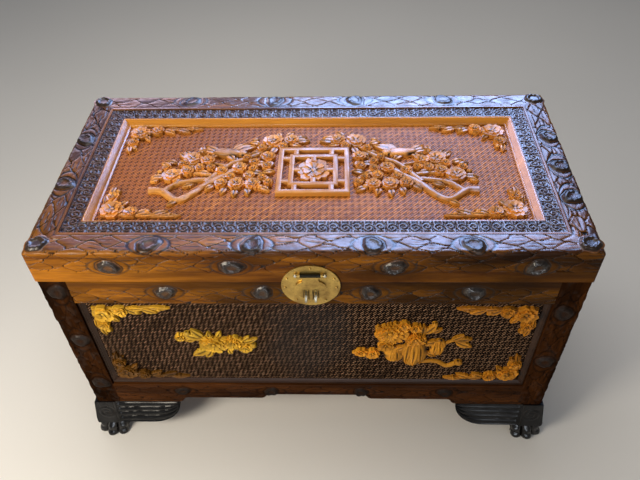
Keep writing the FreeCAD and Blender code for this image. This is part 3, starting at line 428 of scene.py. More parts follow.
def barkField(u, w, seed, spec=barkCut):
    # scales: each is the area nearest one of a staggered grid of centres by |du|/half + |dw|/rise, a little rounded,
    # and a cut runs where the two nearest centres are equally near; some scales have a pair of curved veins
    u = u + spec["warp"] * (2 * softNoise(u / 34, w / 26, seed) - 1)
    w = w + 0.7 * spec["warp"] * (2 * softNoise(u / 27, w / 21, seed + 5) - 1)
    a, b, power = spec["half"], spec["rise"], spec["power"]
    row = np.floor(w / b).astype(int)
    first = np.full(u.shape, 9.0)
    second, chance, nearU, nearW = first.copy(), first * 0, first * 0, first * 0
    for rowStep in (-1, 0, 1):
        r = row + rowStep
        shift = (r % 2) * a
        col = np.floor((u - shift) / (2 * a)).astype(int)
        for colStep in (-1, 0, 1):
            c = col + colStep
            luckU = tableAt(c * 7 + r * 13 + seed, c * 3 - r * 5 + seed)
            luckW = tableAt(c * 11 - r * 3 + seed + 9, c * 5 + r * 7 + seed)
            du = u - ((c + 0.5) * 2 * a + shift + (luckU - 0.5) * spec["jitterU"] * a)
            dw = w - ((r + 0.5) * b + (luckW - 0.5) * spec["jitterW"] * b)
            far = ((np.abs(du) / a) ** power + (np.abs(dw) / b) ** power) ** (1 / power)
            closer = far < first
            second = np.where(closer, first, np.minimum(second, far))
            chance = np.where(closer, luckU, chance)
            nearU, nearW = np.where(closer, du / a, nearU), np.where(closer, dw / b, nearW)
            first = np.where(closer, far, first)
    gap = second - first
    cut = bell(gap, 0, spec["cutWidth"])
    bend = nearW - 0.35 * (chance - 0.5) * np.cos(2.2 * nearU)
    vein = bell(np.abs(bend), spec["vein"], spec["veinWidth"]) * (chance > spec["veined"])
    vein = vein * smooth(0.62, 0.3, np.abs(nearU - 0.5 * (chance - 0.5)))
    relief = spec["pillow"] * (1 - np.exp(-5 * gap)) - spec["cutDepth"] * cut - spec["veinDepth"] * vein
    return relief - 0.6 * spec["pillow"], np.maximum(cut, 0.75 * vein), chance


knotShape = dict(
    ring=0.66, ringWidth=0.26, eye=0.42, rim=1.14, spoke=0.42, rings=0.22, moat=0.1,
    wrapLong=1.95, wrapWide=1.38, wrapCut=0.13,
)


def knotField(u, w, knots, spec=knotShape):
    # healed knots (u, w, half sizes, height): a raised ring with a dished eye, and cuts round its foot and round the
    # bark that wraps it like an eye
    rise, stain, moat, clear = (np.zeros(u.shape) for _ in range(4))
    rim = spec["rim"]
    for index, (ku, kw, ru, rw, height) in enumerate(knots):
        du, dw = (u - ku) / ru, (w - kw) / rw
        angle = np.arctan2(dw, du)
        wobble = 0.1 * np.sin(2 * angle + index) + 0.06 * np.sin(3 * angle + 2.3 * index)
        r = np.hypot(du, dw) * (1 + wobble + 0.03 * np.sin(7 * angle + index))
        ring = bell(r, spec["ring"], spec["ringWidth"]) * (1 + 0.2 * np.sin(2 * angle + 1.7 * index))
        ring = ring + spec["eye"] * smooth(0.62, 0.2, r)
        spokes = spec["spoke"] * np.cos(7 * angle + 5 * r + index) * smooth(0.3, 0.7, r) * smooth(1.1, 0.8, r)
        ridges = spokes + spec["rings"] * np.cos(24 * r + 2 * np.sin(angle))
        rise = np.maximum(rise, (height * ring + ridges) * smooth(rim, 0.8, r))
        stain = np.maximum(stain, smooth(rim, 0.9, r) * (0.55 + 0.45 * smooth(0.2, 0.6, r)))
        wrap = (np.abs(du) / spec["wrapLong"]) ** 1.4 + (np.abs(dw) / spec["wrapWide"]) ** 2
        moat = np.maximum(moat, np.maximum(bell(r, rim, spec["moat"]), 0.7 * bell(wrap, 1, spec["wrapCut"])))
        clear = np.maximum(clear, np.maximum(smooth(1.5, 1.08, r), 0.85 * smooth(1.15, 0.95, wrap)))
    return rise, stain, moat, clear


def carve(u, w, zone, knots, seed):
    # bark inside its zone (0..1) with knots on it: the rise along the normal in mm, and the marks
    relief, cut, chance = barkField(u, w, seed)
    rise, stain, moat, clear = knotField(u, w, knots)
    bark = zone * (1 - clear)
    ripple = 0.6 * unevenness(u / 15, w / 9, seed + 2) + 0.6 * unevenness(u / 8, w / 4.2, seed + 8)
    lift = bark * (relief + ripple) + rise - 1.4 * moat * smooth(0.0, 0.3, np.maximum(zone, stain))
    tone = 0.5 + 0.3 * bark * (chance - 0.5) + 0.5 * unevenness(u / 120, w / 30, seed + 3)
    return lift, trio(np.clip(bark * cut + 0.8 * moat * (1 - stain), 0, 1), stain, tone)


def deepen(marks, cut):
    # adds cuts to the marks
    marks[..., 0] = np.maximum(marks[..., 0], cut)


def knotRow(places, line, long, wide, rise):
    # knots of one size along a line
    return [(u, line, long, wide, rise) for u in places]


lidRail = dict(
    step=1.4, fillet=6.5, barkEnd=99.0, corner=5.0, flats=(16.0, 557.0, 595.0),  # points between the rebate's edges
    topKnot=dict(line=31.0, long=19.5, wide=17.55, rise=3.0), faceKnot=dict(line=85.0, long=19.5, wide=16.38, rise=5.5),
    topKnots=dict(front=(-286, -102, 111, 287), back=(285, 95, -87, -285), left=(-86, 61), right=(87, -12, -104)),
    faceKnots=dict(front=(-362, -140, 150, 400), back=(), left=(-150, 40, 190), right=(-170, 10, 160)),
    seed=dict(front=3, right=11, back=23, left=31),
    sheen=dict(front=1.0, right=0.72, back=1.25, left=0.4), relief=dict(front=0.65, right=1.25, back=0.65, left=1.1),
    paintedTopShade=dict(front=-0.16, right=-0.16, back=-0.16, left=-0.3), frontTone=(0.16, 0.4),
    topEdge=(56.0, 40.0), backEdge=(62.0, 50.0),  # where the top's finish and the back's carving fade out
    dull=0.08, knotPolish=1.25, topKnotPolish=0.55, cutPolish=0.8,
)


def lidRailSection(count, spec=lidRail):
    # the rail's section as a loop: top, rounded edge, outer face, then the rebate; e is the distance in from the face,
    # w the distance round the section from the scroll border, and the normal's two parts come last
    c, bark, r0 = chest, chest["bark"], chest["edgeRound"]
    topE = np.linspace(bark, r0, count(bark - r0))
    turn = np.linspace(0, math.pi / 2, 7)[1:]
    faceZ = np.linspace(c["top"] - r0, c["lidBottom"], count(c["top"] - c["lidBottom"]))[1:]
    under, web, flange = spec["flats"]
    backE = np.array([under, c["web"], c["web"], c["web"], bark, bark])
    backZ = np.array([c["lidBottom"], c["lidBottom"], web, c["flangeUnder"], c["flangeUnder"], flange])
    e = np.concatenate([topE, r0 - r0 * np.sin(turn), 0 * faceZ, backE])
    z = np.concatenate([0 * topE + c["top"], c["top"] - r0 + r0 * np.cos(turn), faceZ, backZ])
    normN = np.concatenate([0 * topE, np.sin(turn), 0 * faceZ + 1, 0 * backE])
    normZ = np.concatenate([0 * topE + 1, np.cos(turn), 0 * faceZ, 0 * backE])
    faceStart = bark - r0 + r0 * math.pi / 2 + spec["step"]
    w = np.concatenate([bark - topE, bark - r0 + r0 * turn, faceStart + faceZ[0] - faceZ, 0 * backE - 50])
    return e, z, w, normN, normZ


def lidRailPolish(side, marks, onTop, spec=lidRail):
    # the top has its sheen; on the face the knots and the waxed cuts shine, and the rest is dull
    cut, knot = marks[..., 0], marks[..., 1]
    sheen = spec["dull"] + (1 - spec["dull"]) * spec["sheen"][side] * onTop * (1 - 0.4 * knot)
    onKnot = spec["knotPolish"] + (spec["topKnotPolish"] - spec["knotPolish"]) * onTop
    return np.maximum(sheen, np.maximum(onKnot * knot, spec["cutPolish"] * cut * (1 - onTop)))


def lidRailPiece(side, spec=lidRail):
    # the section carried along the rail and mitred at both ends, with a fillet, bark and knots
    s = sides[side]
    half, out, round0 = s["half"], s["out"], spec["corner"]
    count = lambda length: max(2, int(round(length / spec["step"])))
    e, z, w, normN, normZ = lidRailSection(count)
    r = np.maximum(round0 - e, 0)
    reach = np.where(r > 0, half - round0 + r * math.sqrt(0.5), half - e)
    u = np.linspace(-1, 1, count(2 * half))[:, None] * reach[None]
    over = np.maximum(np.abs(u) - (half - round0), 0)
    n = np.where(r > 0, out - round0 + np.sqrt(np.maximum(r**2 - over**2, 0)), out - e)
    w = np.broadcast_to(w, u.shape)
    fillet, barkEnd, onTop = spec["fillet"], spec["barkEnd"], smooth(*spec["topEdge"], w)
    zone = smooth(fillet, fillet + 1.5, w) * smooth(barkEnd + 5, barkEnd - 5, w + 5 * unevenness(u / 40, 0 * u, 4))
    if side == "back":  # only its top is carved
        zone = zone * smooth(*spec["backEdge"], w)
    knots = knotRow(spec["topKnots"][side], **spec["topKnot"]) + knotRow(spec["faceKnots"][side], **spec["faceKnot"])
    lift, marks = carve(u, w, zone, knots, spec["seed"][side])
    edge = bell(w, fillet, 0.9)  # the fillet's edge
    toEnd = reach[None] - np.abs(u)
    lift = (lift * (1 + (spec["relief"][side] - 1) * onTop) - 0.8 * edge) * smooth(0.0, 7.0, toEnd)
    deepen(marks, 0.7 * edge)
    deepen(marks, 0.5 * bell(toEnd, 0, 1.0) * (w > 0))
    marks[..., 0] = np.minimum(marks[..., 0] * (1 + 0.9 * onTop), 1)
    # painted shade: the top is painted darker than the face, and the left rail's top darker still
    marks[..., 2] += spec["paintedTopShade"][side] * onTop
    if side == "front":  # painted light and shade: lighter at its left end, where the warm light falls, and darker toward its right end
        light, fall = spec["frontTone"]
        marks[..., 2] += (1 - onTop) * (light - fall * smooth(-0.8, 0.8, u / half))
    polish = lidRailPolish(side, marks, onTop)
    points = place(side, u, n + lift * normN[None], z[None] + lift * normZ[None])
    shape = points, closedSweep(*u.shape), marks
    replaced = ("lid_%s_rail" % side,)
    makePiece("carved_lid_rail_" + side, shape, "lid", frameWood[s["grain"]], replaced, polish=polish)


for name in sides:
    lidRailPiece(name)
print("lid rails carved")

cornerKnot = dict(inset=23.0, radius=19.0, height=5.5, foot=4.0, rings=18, spokes=48)


def cornerKnotPiece(spec=cornerKnot):
    # a knot over each top mitre: rings and spokes about its middle, closed underneath
    ring = np.linspace(0.02, 1.18, spec["rings"])[:, None]
    angle = np.linspace(0, 2 * math.pi, spec["spokes"], endpoint=False)[None]
    h = spec["height"] * (bell(ring, 0.68, 0.24) + 0.42 * smooth(0.62, 0.2, ring)) * smooth(1.18, 0.86, ring)
    h = h + 0.6 * np.cos(9 * angle + 3 * ring) * smooth(0.3, 0.7, ring) * smooth(1.1, 0.8, ring)
    h = h - 0.4 * smooth(1.1, 1.18, ring)
    shapes = []
    for index, (sx, sy) in enumerate(((-1, -1), (1, -1), (1, 1), (-1, 1))):
        wobble = 1 + 0.07 * np.sin(2 * angle + index) + 0.05 * np.sin(5 * angle + 2 * index)
        x = sx * (chest["halfLong"] - spec["inset"]) + spec["radius"] * ring * wobble * np.cos(angle)
        y = sy * (chest["halfDeep"] - spec["inset"]) + spec["radius"] * ring * wobble * np.sin(angle)
        top, under = trio(x, y, chest["top"] + h), trio(x[-1:], y[-1:], chest["top"] - spec["foot"])
        points = np.concatenate([top, under]) * mm
        stain = smooth(1.2, 0.95, np.concatenate([ring, ring[-1:]])) * 0.95 + 0 * angle
        shapes.append((points, closedSweep(*stain.shape), trio(0.0, stain, 0.5)))
    makePiece("lid_corner_knots", joinShapes(shapes), "lid", frameWood["x"], polish=1.0)


cornerKnotPiece()

caseRail = dict(
    step=1.5, bow=1.2, plain=20.0, barkShift=8.0, seed=41, shade=0.12, frontShade=0.48, endShade=0.1,
    dull=0.08, knotPolish=1.25, cutPolish=0.8, knot=dict(line=38.0, long=18.5, wide=15.91, rise=5.5),
    knots=dict(front=(-273, -91, 109, 300), left=(-120, 20, 130), right=(-130, 0, 120)),
)


def stripProfile(high, thick, step, bow):
    # a flat strip's section as a loop: (distance down from its top, depth behind the face, weight of the carving)
    w = np.linspace(0, high, max(3, int(round(high / step))))
    edge = np.minimum(w, w[-1] - w)
    ease = np.where(edge < bow, bow - np.sqrt(np.maximum(bow**2 - (bow - edge) ** 2, 0)), 0)
    down = np.concatenate([w, [high, high / 2, 0]])
    depth = np.concatenate([ease, [thick, thick, thick]])
    weight = np.concatenate([smooth(0.0, 3.0, edge), [0, 0, 0]])
    return down, depth, weight


def caseRailPiece(side, spec=caseRail):
    # a flat rail between the posts: plain above, bark and knots below
    s, c = sides[side], chest
    reach = s["half"] - c["stile"]
    down, depth, weight = stripProfile(c["seam"] - c["railUnder"], c["strip"], spec["step"], spec["bow"])
    u = np.linspace(-reach, reach, int(round(2 * reach / spec["step"])))[:, None]
    u, w = np.broadcast_arrays(u, down[None])
    zone = smooth(spec["plain"] - 4, spec["plain"] + 5, w + 5 * unevenness(u / 40, 0 * u, 9))
    knots = knotRow(spec["knots"][side], **spec["knot"])
    lift, marks = carve(u, w + spec["barkShift"], zone, knots, spec["seed"] + len(side))
    toRight = spec["frontShade"] * smooth(-0.7, 0.5, u / reach)  # painted shade: the front darkens toward its right end, where less light falls
    marks[..., 2] -= spec["shade"] + (toRight if side == "front" else spec["endShade"])
    shine = np.maximum(spec["knotPolish"] * marks[..., 1], spec["cutPolish"] * marks[..., 0])
    polish = np.maximum(spec["dull"], shine)
    points = place(side, u, s["out"] - depth[None] + lift * weight[None], c["seam"] - w)
    shape = points, closedSweep(*u.shape), marks
    replaced = (side + "_top_rail",)
    makePiece("carved_top_rail_" + side, shape, "case", frameWood[s["grain"]], replaced, polish=polish)


for name in carvedSides:
    caseRailPiece(name)

wingReach = dict(front=195.0, back=195.0, left=135.0, right=135.0)  # how far a foot's bracket runs from its corner
apronShape = dict(
    step=2.0, rows=34, bow=0.03, face=40.0, mid=130.0, top=146.0, run=24.0, seed=57, tone=0.1,
    polish=0.25, bead=5.0, beadWidth=2.2, beadRise=1.6, cut=9.0, cutWidth=1.2,
    knot=dict(line=26.0, long=16.25, wide=13.0, rise=4.0),
    knots=dict(front=(-300, -100, 100, 285), left=(-100, 90), right=(-90, 100)),
)


def ogee(u, start, end, low, high):
    # two equal arcs, level at both ends, from low at start to high at end
    t = np.clip((u - start) / (end - start), 0, 1)
    k = (high - low) / (end - start)
    radius = (1 + k * k) / (4 * abs(k))  # in runs
    arc = lambda x: (radius - np.sqrt(np.maximum(radius**2 - np.minimum(x, 0.5) ** 2, 0))) / abs(k)
    return low + (high - low) * np.where(t < 0.5, arc(t), 1 - arc(1 - t))


def apronEdge(u, half, wing, spec=apronShape):
    # height of the apron's lower edge: up in two steps from the foot to the middle
    a, run, low = np.abs(u), spec["run"], chest["footTop"]
    foot, middle = half - wing, 0.2 * half
    z = np.where(a >= foot, low, ogee(a, foot, foot - run, low, spec["mid"]))
    return np.where(a < middle + run, ogee(a, middle + run, middle, spec["mid"], spec["top"]), z)


def apronPiece(side, spec=apronShape):
    # a strip whose lower edge is scalloped, with bark, knots and a raised bead along the edge
    s, top = sides[side], chest["apronTop"]
    reach = s["half"] - chest["stile"]
    down, depth, _ = stripProfile(1, chest["strip"], 1 / spec["rows"], spec["bow"])
    depth = np.where(depth < 1, depth * spec["face"], depth)
    u = np.linspace(-reach, reach, int(round(2 * reach / spec["step"])))[:, None]
    low = apronEdge(u, s["half"], wingReach[side])
    z = top - down[None] * (top - low)
    u = np.broadcast_to(u, z.shape)
    edge = np.minimum(top - z, z - low)
    knots = knotRow(spec["knots"][side], **spec["knot"])
    lift, marks = carve(u, top - z, smooth(3, 7, edge), knots, spec["seed"] + len(side))
    lift = lift * smooth(0.5, 4, edge) + spec["beadRise"] * bell(z - low, spec["bead"], spec["beadWidth"])
    deepen(marks, 0.7 * bell(z - low, spec["cut"], spec["cutWidth"]))
    marks[..., 2] += spec["tone"]
    points = place(side, u, s["out"] - depth[None] + np.where(depth[None] < 5, lift, 0), z)
    shape = points, closedSweep(*z.shape), marks
    replaced = (side + "_apron",)
    makePiece("carved_apron_" + side, shape, "case", lowWood[s["grain"]], replaced,
              polish=spec["polish"])


for name in carvedSides:
    apronPiece(name)

postShape = dict(  # knots: distance round the corner from the first strip's edge, and height
    step=2.0, plain=509.0, bark=0.95, knobs=2.0, backStrip=52.0, shade=0.32, stain=0.75, knotPolish=0.9,
    knot=dict(long=19.55, wide=17.0, rise=4.2),
    knots=dict(
        front_left=((25, 499), (25, 348), (25, 190), (86, 420), (86, 250)),
        front_right=((25, 440), (25, 280), (86, 499), (86, 380), (86, 200)),
        back_left=((86, 470), (86, 300)), back_right=((86, 460), (86, 290)),
    ),
    seed=dict(front_left=61, front_right=67, back_left=71, back_right=73),
)


def postSection(step):
    # the two strips of a corner as one wrapped face: in along one side, round the edge and out along the other;
    # x and y are distances in from the corner, then come the normal, the distance round and that to the nearer edge
    r0, wide, thick = (chest[k] for k in ("cornerRound", "stile", "strip"))
    flat = wide - r0
    one, turn = np.linspace(0, flat, int(round(flat / step))), np.linspace(0, math.pi / 2, 11)[1:]
    two = one[1:]
    px = np.concatenate([wide - one, r0 - r0 * np.sin(turn), 0 * two, [thick, thick, wide]])
    py = np.concatenate([0 * one, r0 - r0 * np.cos(turn), r0 + two, [wide, thick, thick]])
    nx = np.concatenate([0 * one, -np.sin(turn), 0 * two - 1, [0, 0, 0]])
    ny = np.concatenate([0 * one - 1, -np.cos(turn), 0 * two, [0, 0, 0]])
    w = np.concatenate([one, flat + r0 * turn, flat + r0 * math.pi / 2 + two, [-50, -50, -50]])
    edge = np.clip(np.minimum(w, 2 * flat + r0 * math.pi / 2 - w), 0, None)
    return px, py, nx, ny, w, edge


def postPiece(corner, spec=postShape):
    # the section carried up the post, with bark, knots and small knobs
    low, high = chest["footTop"], chest["seam"]
    px, py, nx, ny, w, edge = postSection(spec["step"])
    z = np.linspace(low, high, int(round((high - low) / spec["step"])))[:, None]
    z, w = np.broadcast_arrays(z, w[None])
    zone = smooth(spec["plain"] + 4, spec["plain"] - 5, z) * smooth(1, 5, edge)[None] * spec["bark"]
    if "back" in corner:  # the strip on the back is plain
        zone = zone * (w > spec["backStrip"])
    knots = [row for kw, kz in spec["knots"][corner] for row in knotRow((kz,), kw, **spec["knot"])]
    lift, marks = carve(z, w, zone, knots, spec["seed"][corner])
    knobs = softNoise(z / 10, w / 8, 12)
    lift = (lift + spec["knobs"] * zone * (knobs - 0.5)) * smooth(0, 3, edge)[None]
    lift = lift * smooth(0, 4, high - z) * smooth(0, 4, z - low)
    sx, sy = (-1 if "left" in corner else 1), (-1 if "front" in corner else 1)
    x, y = chest["halfLong"] - (px[None] + lift * nx[None]), chest["halfDeep"] - (py[None] + lift * ny[None])
    if corner == "front_left":  # the darkest of the four
        marks[..., 2] -= spec["shade"]
    marks[..., 1] *= spec["stain"]
    polish = np.maximum(0.06 + 0.3 * smooth(0.5, 0.8, knobs), spec["knotPolish"] * marks[..., 1])
    shape = trio(sx * x, sy * y, z) * mm, closedSweep(*z.shape), marks
    makePiece("carved_post_" + corner, shape, "case", lowWood["z"], ("post_" + corner,), polish=polish)


for name in postShape["knots"]:
    postPiece(name)
print("case framing carved")

wingShape = dict(
    step=2.0, bottom=38.0, thick=22.0, flare=10.0, rows=48, ridges=4.5, depth=5.5,
    leg=44.0, legRise=2.6, curlZ=78.0, curlPitch=10.5, curlRise=0.9,
)


def wingPoints(side, mirrored, spec=wingShape):
    # bracket face: t runs from its top edge down to its lower edge, level and then a quarter round up to the tip;
    # ridges follow t, so they sweep up and meet at the tip, and a curl is cut on the square block at the corner
    s, top, leg, rows = sides[side], chest["footTop"], spec["leg"], spec["rows"]
    radius = top - spec["bottom"]
    start, bend = -s["half"] - spec["flare"], wingReach[side] - s["half"] - radius
    level = np.linspace(start, bend, int((bend - start) / spec["step"]))
    swing = np.linspace(0, 0.985 * math.pi / 2, 37)[1:]
    u = np.concatenate([level, bend + radius * np.sin(swing)])[:, None]
    drop = np.concatenate([0 * level + radius, radius * np.cos(swing)])[:, None]
    t = np.concatenate([np.linspace(0, 1, rows), [1.0, 0.5, 0.0]])[None]
    face = np.arange(rows + 3)[None] < rows
    z = top - t * drop
    fromCorner = u + s["half"] + 0 * t
    bow = t + 0.05 * np.sin(math.pi * np.clip((fromCorner - 60) / 120, 0, 1)) * np.sin(math.pi * t)
    wave = 2 * np.abs(np.cos(math.pi * spec["ridges"] * bow)) ** 0.7 - 1
    fade = smooth(leg + 1, leg + 6, fromCorner) * smooth(1, 0.95, t)
    block = smooth(leg + 1.5, leg - 1.5, fromCorner)
    cx, cz = fromCorner - 0.45 * leg, z - spec["curlZ"]
    far = np.hypot(cx, cz)
    curl = np.cos(2 * math.pi * far / spec["curlPitch"] - np.arctan2(cz, cx)) * smooth(24, 18, far)
    border = bell(fromCorner, leg - 5, 1.5)
    lift = spec["depth"] * 0.5 * (wave - 1) * fade + block * (spec["legRise"] + spec["curlRise"] * curl - 1.2 * border)
    slope = spec["flare"] * (top - z) / radius
    n = s["out"] + np.where(face, slope + lift, -spec["thick"])
    uMitre = np.maximum(u, s["out"] - s["half"] - n)  # mitre: no nearer the corner than the outward distance allows
    cut = fade * smooth(0.1, -0.9, wave) + block * np.maximum(smooth(-0.2, -0.9, curl) * 0.8, border)
    tone = 0.5 + 0.3 * unevenness(u / 20, 10 * t, 3)
    marks = trio(np.where(face, np.clip(cut, 0, 1), 0), 0.0, tone)
    return place(side, -uMitre if mirrored else uMitre, n, z), closedSweep(*z.shape), marks


pawShape = dict(
    inset=26.0, peak=51.0, valley=42.0, toes=5, back=28.0, heel=41.0, top=38.0, rings=24, spokes=120, lean=6.0)


def pawPoints(sx, sy, spec=pawShape):
    # paw: round toes on the outside and a square back; it narrows upward, each toe bulging at the knuckle and the claw
    quarter = math.pi / 4
    h = np.linspace(0, 1, spec["rings"])[:, None]
    turn = np.linspace(-math.pi, math.pi, spec["spokes"], endpoint=False)[None]  # 0 is straight outward
    outer = smooth(1.72, 1.52, np.abs(turn))
    lobe = np.abs(np.sin(spec["toes"] * (turn + 2 * quarter)))
    toe = spec["valley"] + (spec["peak"] - spec["valley"]) * lobe**0.7
    square = spec["back"] / np.maximum(np.abs(np.cos(turn - quarter)), np.abs(np.sin(turn - quarter)))
    knuckle = 0.05 * bell(h, 0.72, 0.16) - 0.05 * bell(h, 0.42, 0.1) + 0.03 * bell(h, 0.15, 0.16)
    swell = 1 - 0.2 * h**2.2 - 0.04 * smooth(0.08, 0.0, h)
    r = (outer * toe * (1 + knuckle * lobe) + (1 - outer) * np.minimum(square, spec["heel"])) * swell
    lean = spec["lean"] * (0.6 - h) * math.sqrt(0.5)
    x = chest["halfLong"] - spec["inset"] + lean + r * np.cos(turn + quarter)
    y = chest["halfDeep"] - spec["inset"] + lean + r * np.sin(turn + quarter)
    marks = trio(outer * smooth(0.4, 0.05, lobe) + 0 * h, 0.0, 0.5)
    return trio(sx * x, sy * y, spec["top"] * h) * mm, closedSweep(*r.shape), marks


glueBlock = dict(inset=22.0, wide=32.0, levels=(34.0, 36.0, 90.0, 148.0, 150.0), marks=(0.0, 0.2, 0.4))


def blockPoints(sx, sy, spec=glueBlock):
    # the glue block that stands on the paw inside the corner, as a square column
    x = chest["halfLong"] - spec["inset"] - spec["wide"] * np.array([0, 1, 1, 0])[None]
    y = chest["halfDeep"] - spec["inset"] - spec["wide"] * np.array([0, 0, 1, 1])[None]
    points = trio(sx * x, sy * y, np.array(spec["levels"])[:, None]) * mm
    return points, closedSweep(*points.shape[:2]), np.broadcast_to(np.array(spec["marks"]), points.shape)


footCorners = {  # signs of x and y, and the wings: side, and whether it is the side's right end
    "front_left": (-1, -1, ("front", False), ("left", True)),
    "front_right": (1, -1, ("front", True), ("right", False)),
    "back_right": (1, 1, ("back", False), ("right", True)),
    "back_left": (-1, 1, ("back", True), ("left", False)),
}
for name, (sx, sy, one, two) in footCorners.items():
    shape = joinShapes([pawPoints(sx, sy), wingPoints(*one), wingPoints(*two), blockPoints(sx, sy)])
    z = shape[0][:, 2] / mm
    polish = np.select([z > chest["footTop"] - 0.8, z < pawShape["top"] - 1], [0.0, 1.0], 0.5)  # dull top, bright toes
    makePiece("carved_foot_" + name, shape, "case", pawWood, ("foot_" + name,), polish=polish)
print("feet carved")

scrollBand = dict(
    step=1.3, period=21.0, radius=11.0, pitch=6.2, height=1.7, sink=2.6, sway=1.5, leaf=(5.5, 7.0), fillet=(13.4, 13.9),
    sharp=50.0, dull=0.55,
)


def scrollField(u, w, spec=scrollBand):
    # a row of curls wound alternately up and down: each is a flat-topped spiral ridge, cos(r / pitch - angle),
    # about its own middle, with a split leaf in every hollow between two of them and a fillet along both edges
    k = np.round(u / spec["period"])
    sign = np.where(k % 2 == 0, 1.0, -1.0)
    offLine = w - chest["scroll"] / 2
    dx, dy = u - k * spec["period"], (offLine - spec["sway"] * sign) * sign
    r, angle = np.hypot(dx, dy), np.arctan2(dy, dx)
    curl = smooth(-0.55, 0.1, np.cos(2 * math.pi * r / spec["pitch"] - angle + 1.2))
    inside = smooth(spec["radius"] + 0.8, spec["radius"] - 0.8, r)
    hollow = np.abs((u / spec["period"]) % 1.0 - 0.5)
    leaf = smooth(0.3, 0.22, hollow) * smooth(0.03, 0.07, hollow) * smooth(*spec["leaf"], np.abs(offLine))
    fillet = smooth(*spec["fillet"], np.abs(offLine))
    return np.maximum(np.maximum(curl * inside, leaf * (1 - inside)), fillet)


def scrollPieces(spec=scrollBand):
    # a flat strip inside each rail, mitred, with the curls cut into its top
    c, shapes = chest, {"x": [], "y": []}
    top, wide = c["top"] - spec["sink"], c["scroll"]
    e = np.linspace(0, wide, int(wide / spec["step"]))
    face = np.arange(len(e) + 3)[None] < len(e)
    e = np.concatenate([e, [wide, wide / 2, 0]])
    for side, s in sides.items():
        half = s["half"] - c["bark"]
        u = np.linspace(-1, 1, int(2 * half / spec["step"]))[:, None] * (half - e)[None]
        rise = scrollField(u, np.broadcast_to(e, u.shape))
        z = np.where(face, top - spec["height"] * (1 - rise), c["flangeUnder"])
        cut = np.where(face, 0.9 * (1 - smooth(0.1, 0.6, rise)), 0)
        marks = trio(cut, 0.0, 0.45 + 0.25 * unevenness(u / 60, 0 * u, 6))
        shapes[s["grain"]].append((place(side, u, s["out"] - c["bark"] - e[None], z), closedSweep(*u.shape), marks))
    for axis, strips in shapes.items():
        shape = joinShapes(strips)
        polish = spec["dull"] + (1 - spec["dull"]) * smooth(-0.5, 0.1, shape[0][:, 0])  # brighter to the right
        name = "carved_scroll_border_" + axis
        makePiece(name, shape, "lid", scrollWood[axis], ("scroll_border",), spec["sharp"], polish)


scrollPieces()

lidMould = dict(sharp=30.0, profile=(  # inset and height
    (0, 0), (0, 16.0), (0.6, 16.8), (1.6, 17.0), (2.4, 16.7), (3.0, 16.0), (3.6, 16.0), (8.0, 11.8),
    (12.4, 7.4), (13.0, 6.4), (13.6, 6.4), (14.8, 5.4), (15.5, 4.7), (16, 4.4), (16, 0),
))
sideMould = dict(sharp=30.0, profile=(
    (0, 0), (0, 8.0), (0.7, 8.8), (2.6, 9.2), (4.6, 8.6), (5.2, 7.5), (6.0, 7.6), (8.6, 5.6),
    (10.8, 3.9), (12, 3.4), (12, 0),
))


def lidOpening(inset=0.0):
    # half sizes of the lid's opening inside the scroll border
    edge = chest["bark"] + chest["scroll"] + inset
    return chest["halfLong"] - edge, chest["halfDeep"] - edge


def sideOpening(side, inset=0.0):
    # half sizes of a side's opening inside its posts, rail and apron
    return sides[side]["half"] - chest["stile"] - inset, (chest["railUnder"] - chest["apronTop"]) / 2 - inset


def mouldLoop(halfA, halfB, profile):
    # a section of (inset, height) carried round a rectangle with mitred corners: rows a, b, height
    inset, height = np.array(profile, float).T
    a = np.array([-1, 1, 1, -1])[:, None] * (halfA - inset)[None]
    b = np.array([-1, -1, 1, 1])[:, None] * (halfB - inset)[None]
    return a, b, np.broadcast_to(height, a.shape)


def mouldPiece(name, points, body, material, replaced, spec):
    # the loop is closed both ways
    quads = gridQuads(*points.shape[:2], wrapU=True, wrapV=True)
    makePiece(name, (points, [quads], None), body, material, replaced, spec["sharp"])


a, b, h = mouldLoop(*lidOpening(), lidMould["profile"])
points = trio(a, b, chest["flangeUnder"] + h) * mm
mouldPiece("lid_panel_frame", points, "lid", mouldWood, ("lid_panel_moulding",), lidMould)
for name in carvedSides:
    a, b, h = mouldLoop(*sideOpening(name), sideMould["profile"])
    points = place(name, a, sides[name]["out"] - chest["strip"] + h, panelMiddle + b)
    finish = sideMouldWood[sides[name]["grain"]]
    mouldPiece(name + "_panel_frame", points, "case", finish, (name + "_panel_moulding",), sideMould)
print("borders and mouldings made")

# over: for each strip of a set in turn, which crossings it passes over; shift: from one set to the next
lidWeave = dict(
    strip=6.2, lift=1.5, groove=0.2, dive=0.7, crest=0.85, fade=0.62, fadeBelow=0.0, sink=1.0, rim=-1.5, sharp=60.0,
    shift=2, over=((1, 1, 1, 0), (1, 1, 1, 1)),
)
sideWeave = dict(
    lidWeave, lift=1.55, groove=0.0, dive=0.95, crest=0.62, fade=0.08, fadeBelow=0.14,
    shift=0, over=((0, 1, 1, 1), (1, 1, 0, 1), (1, 1, 1, 0), (1, 0, 1, 1)),
)


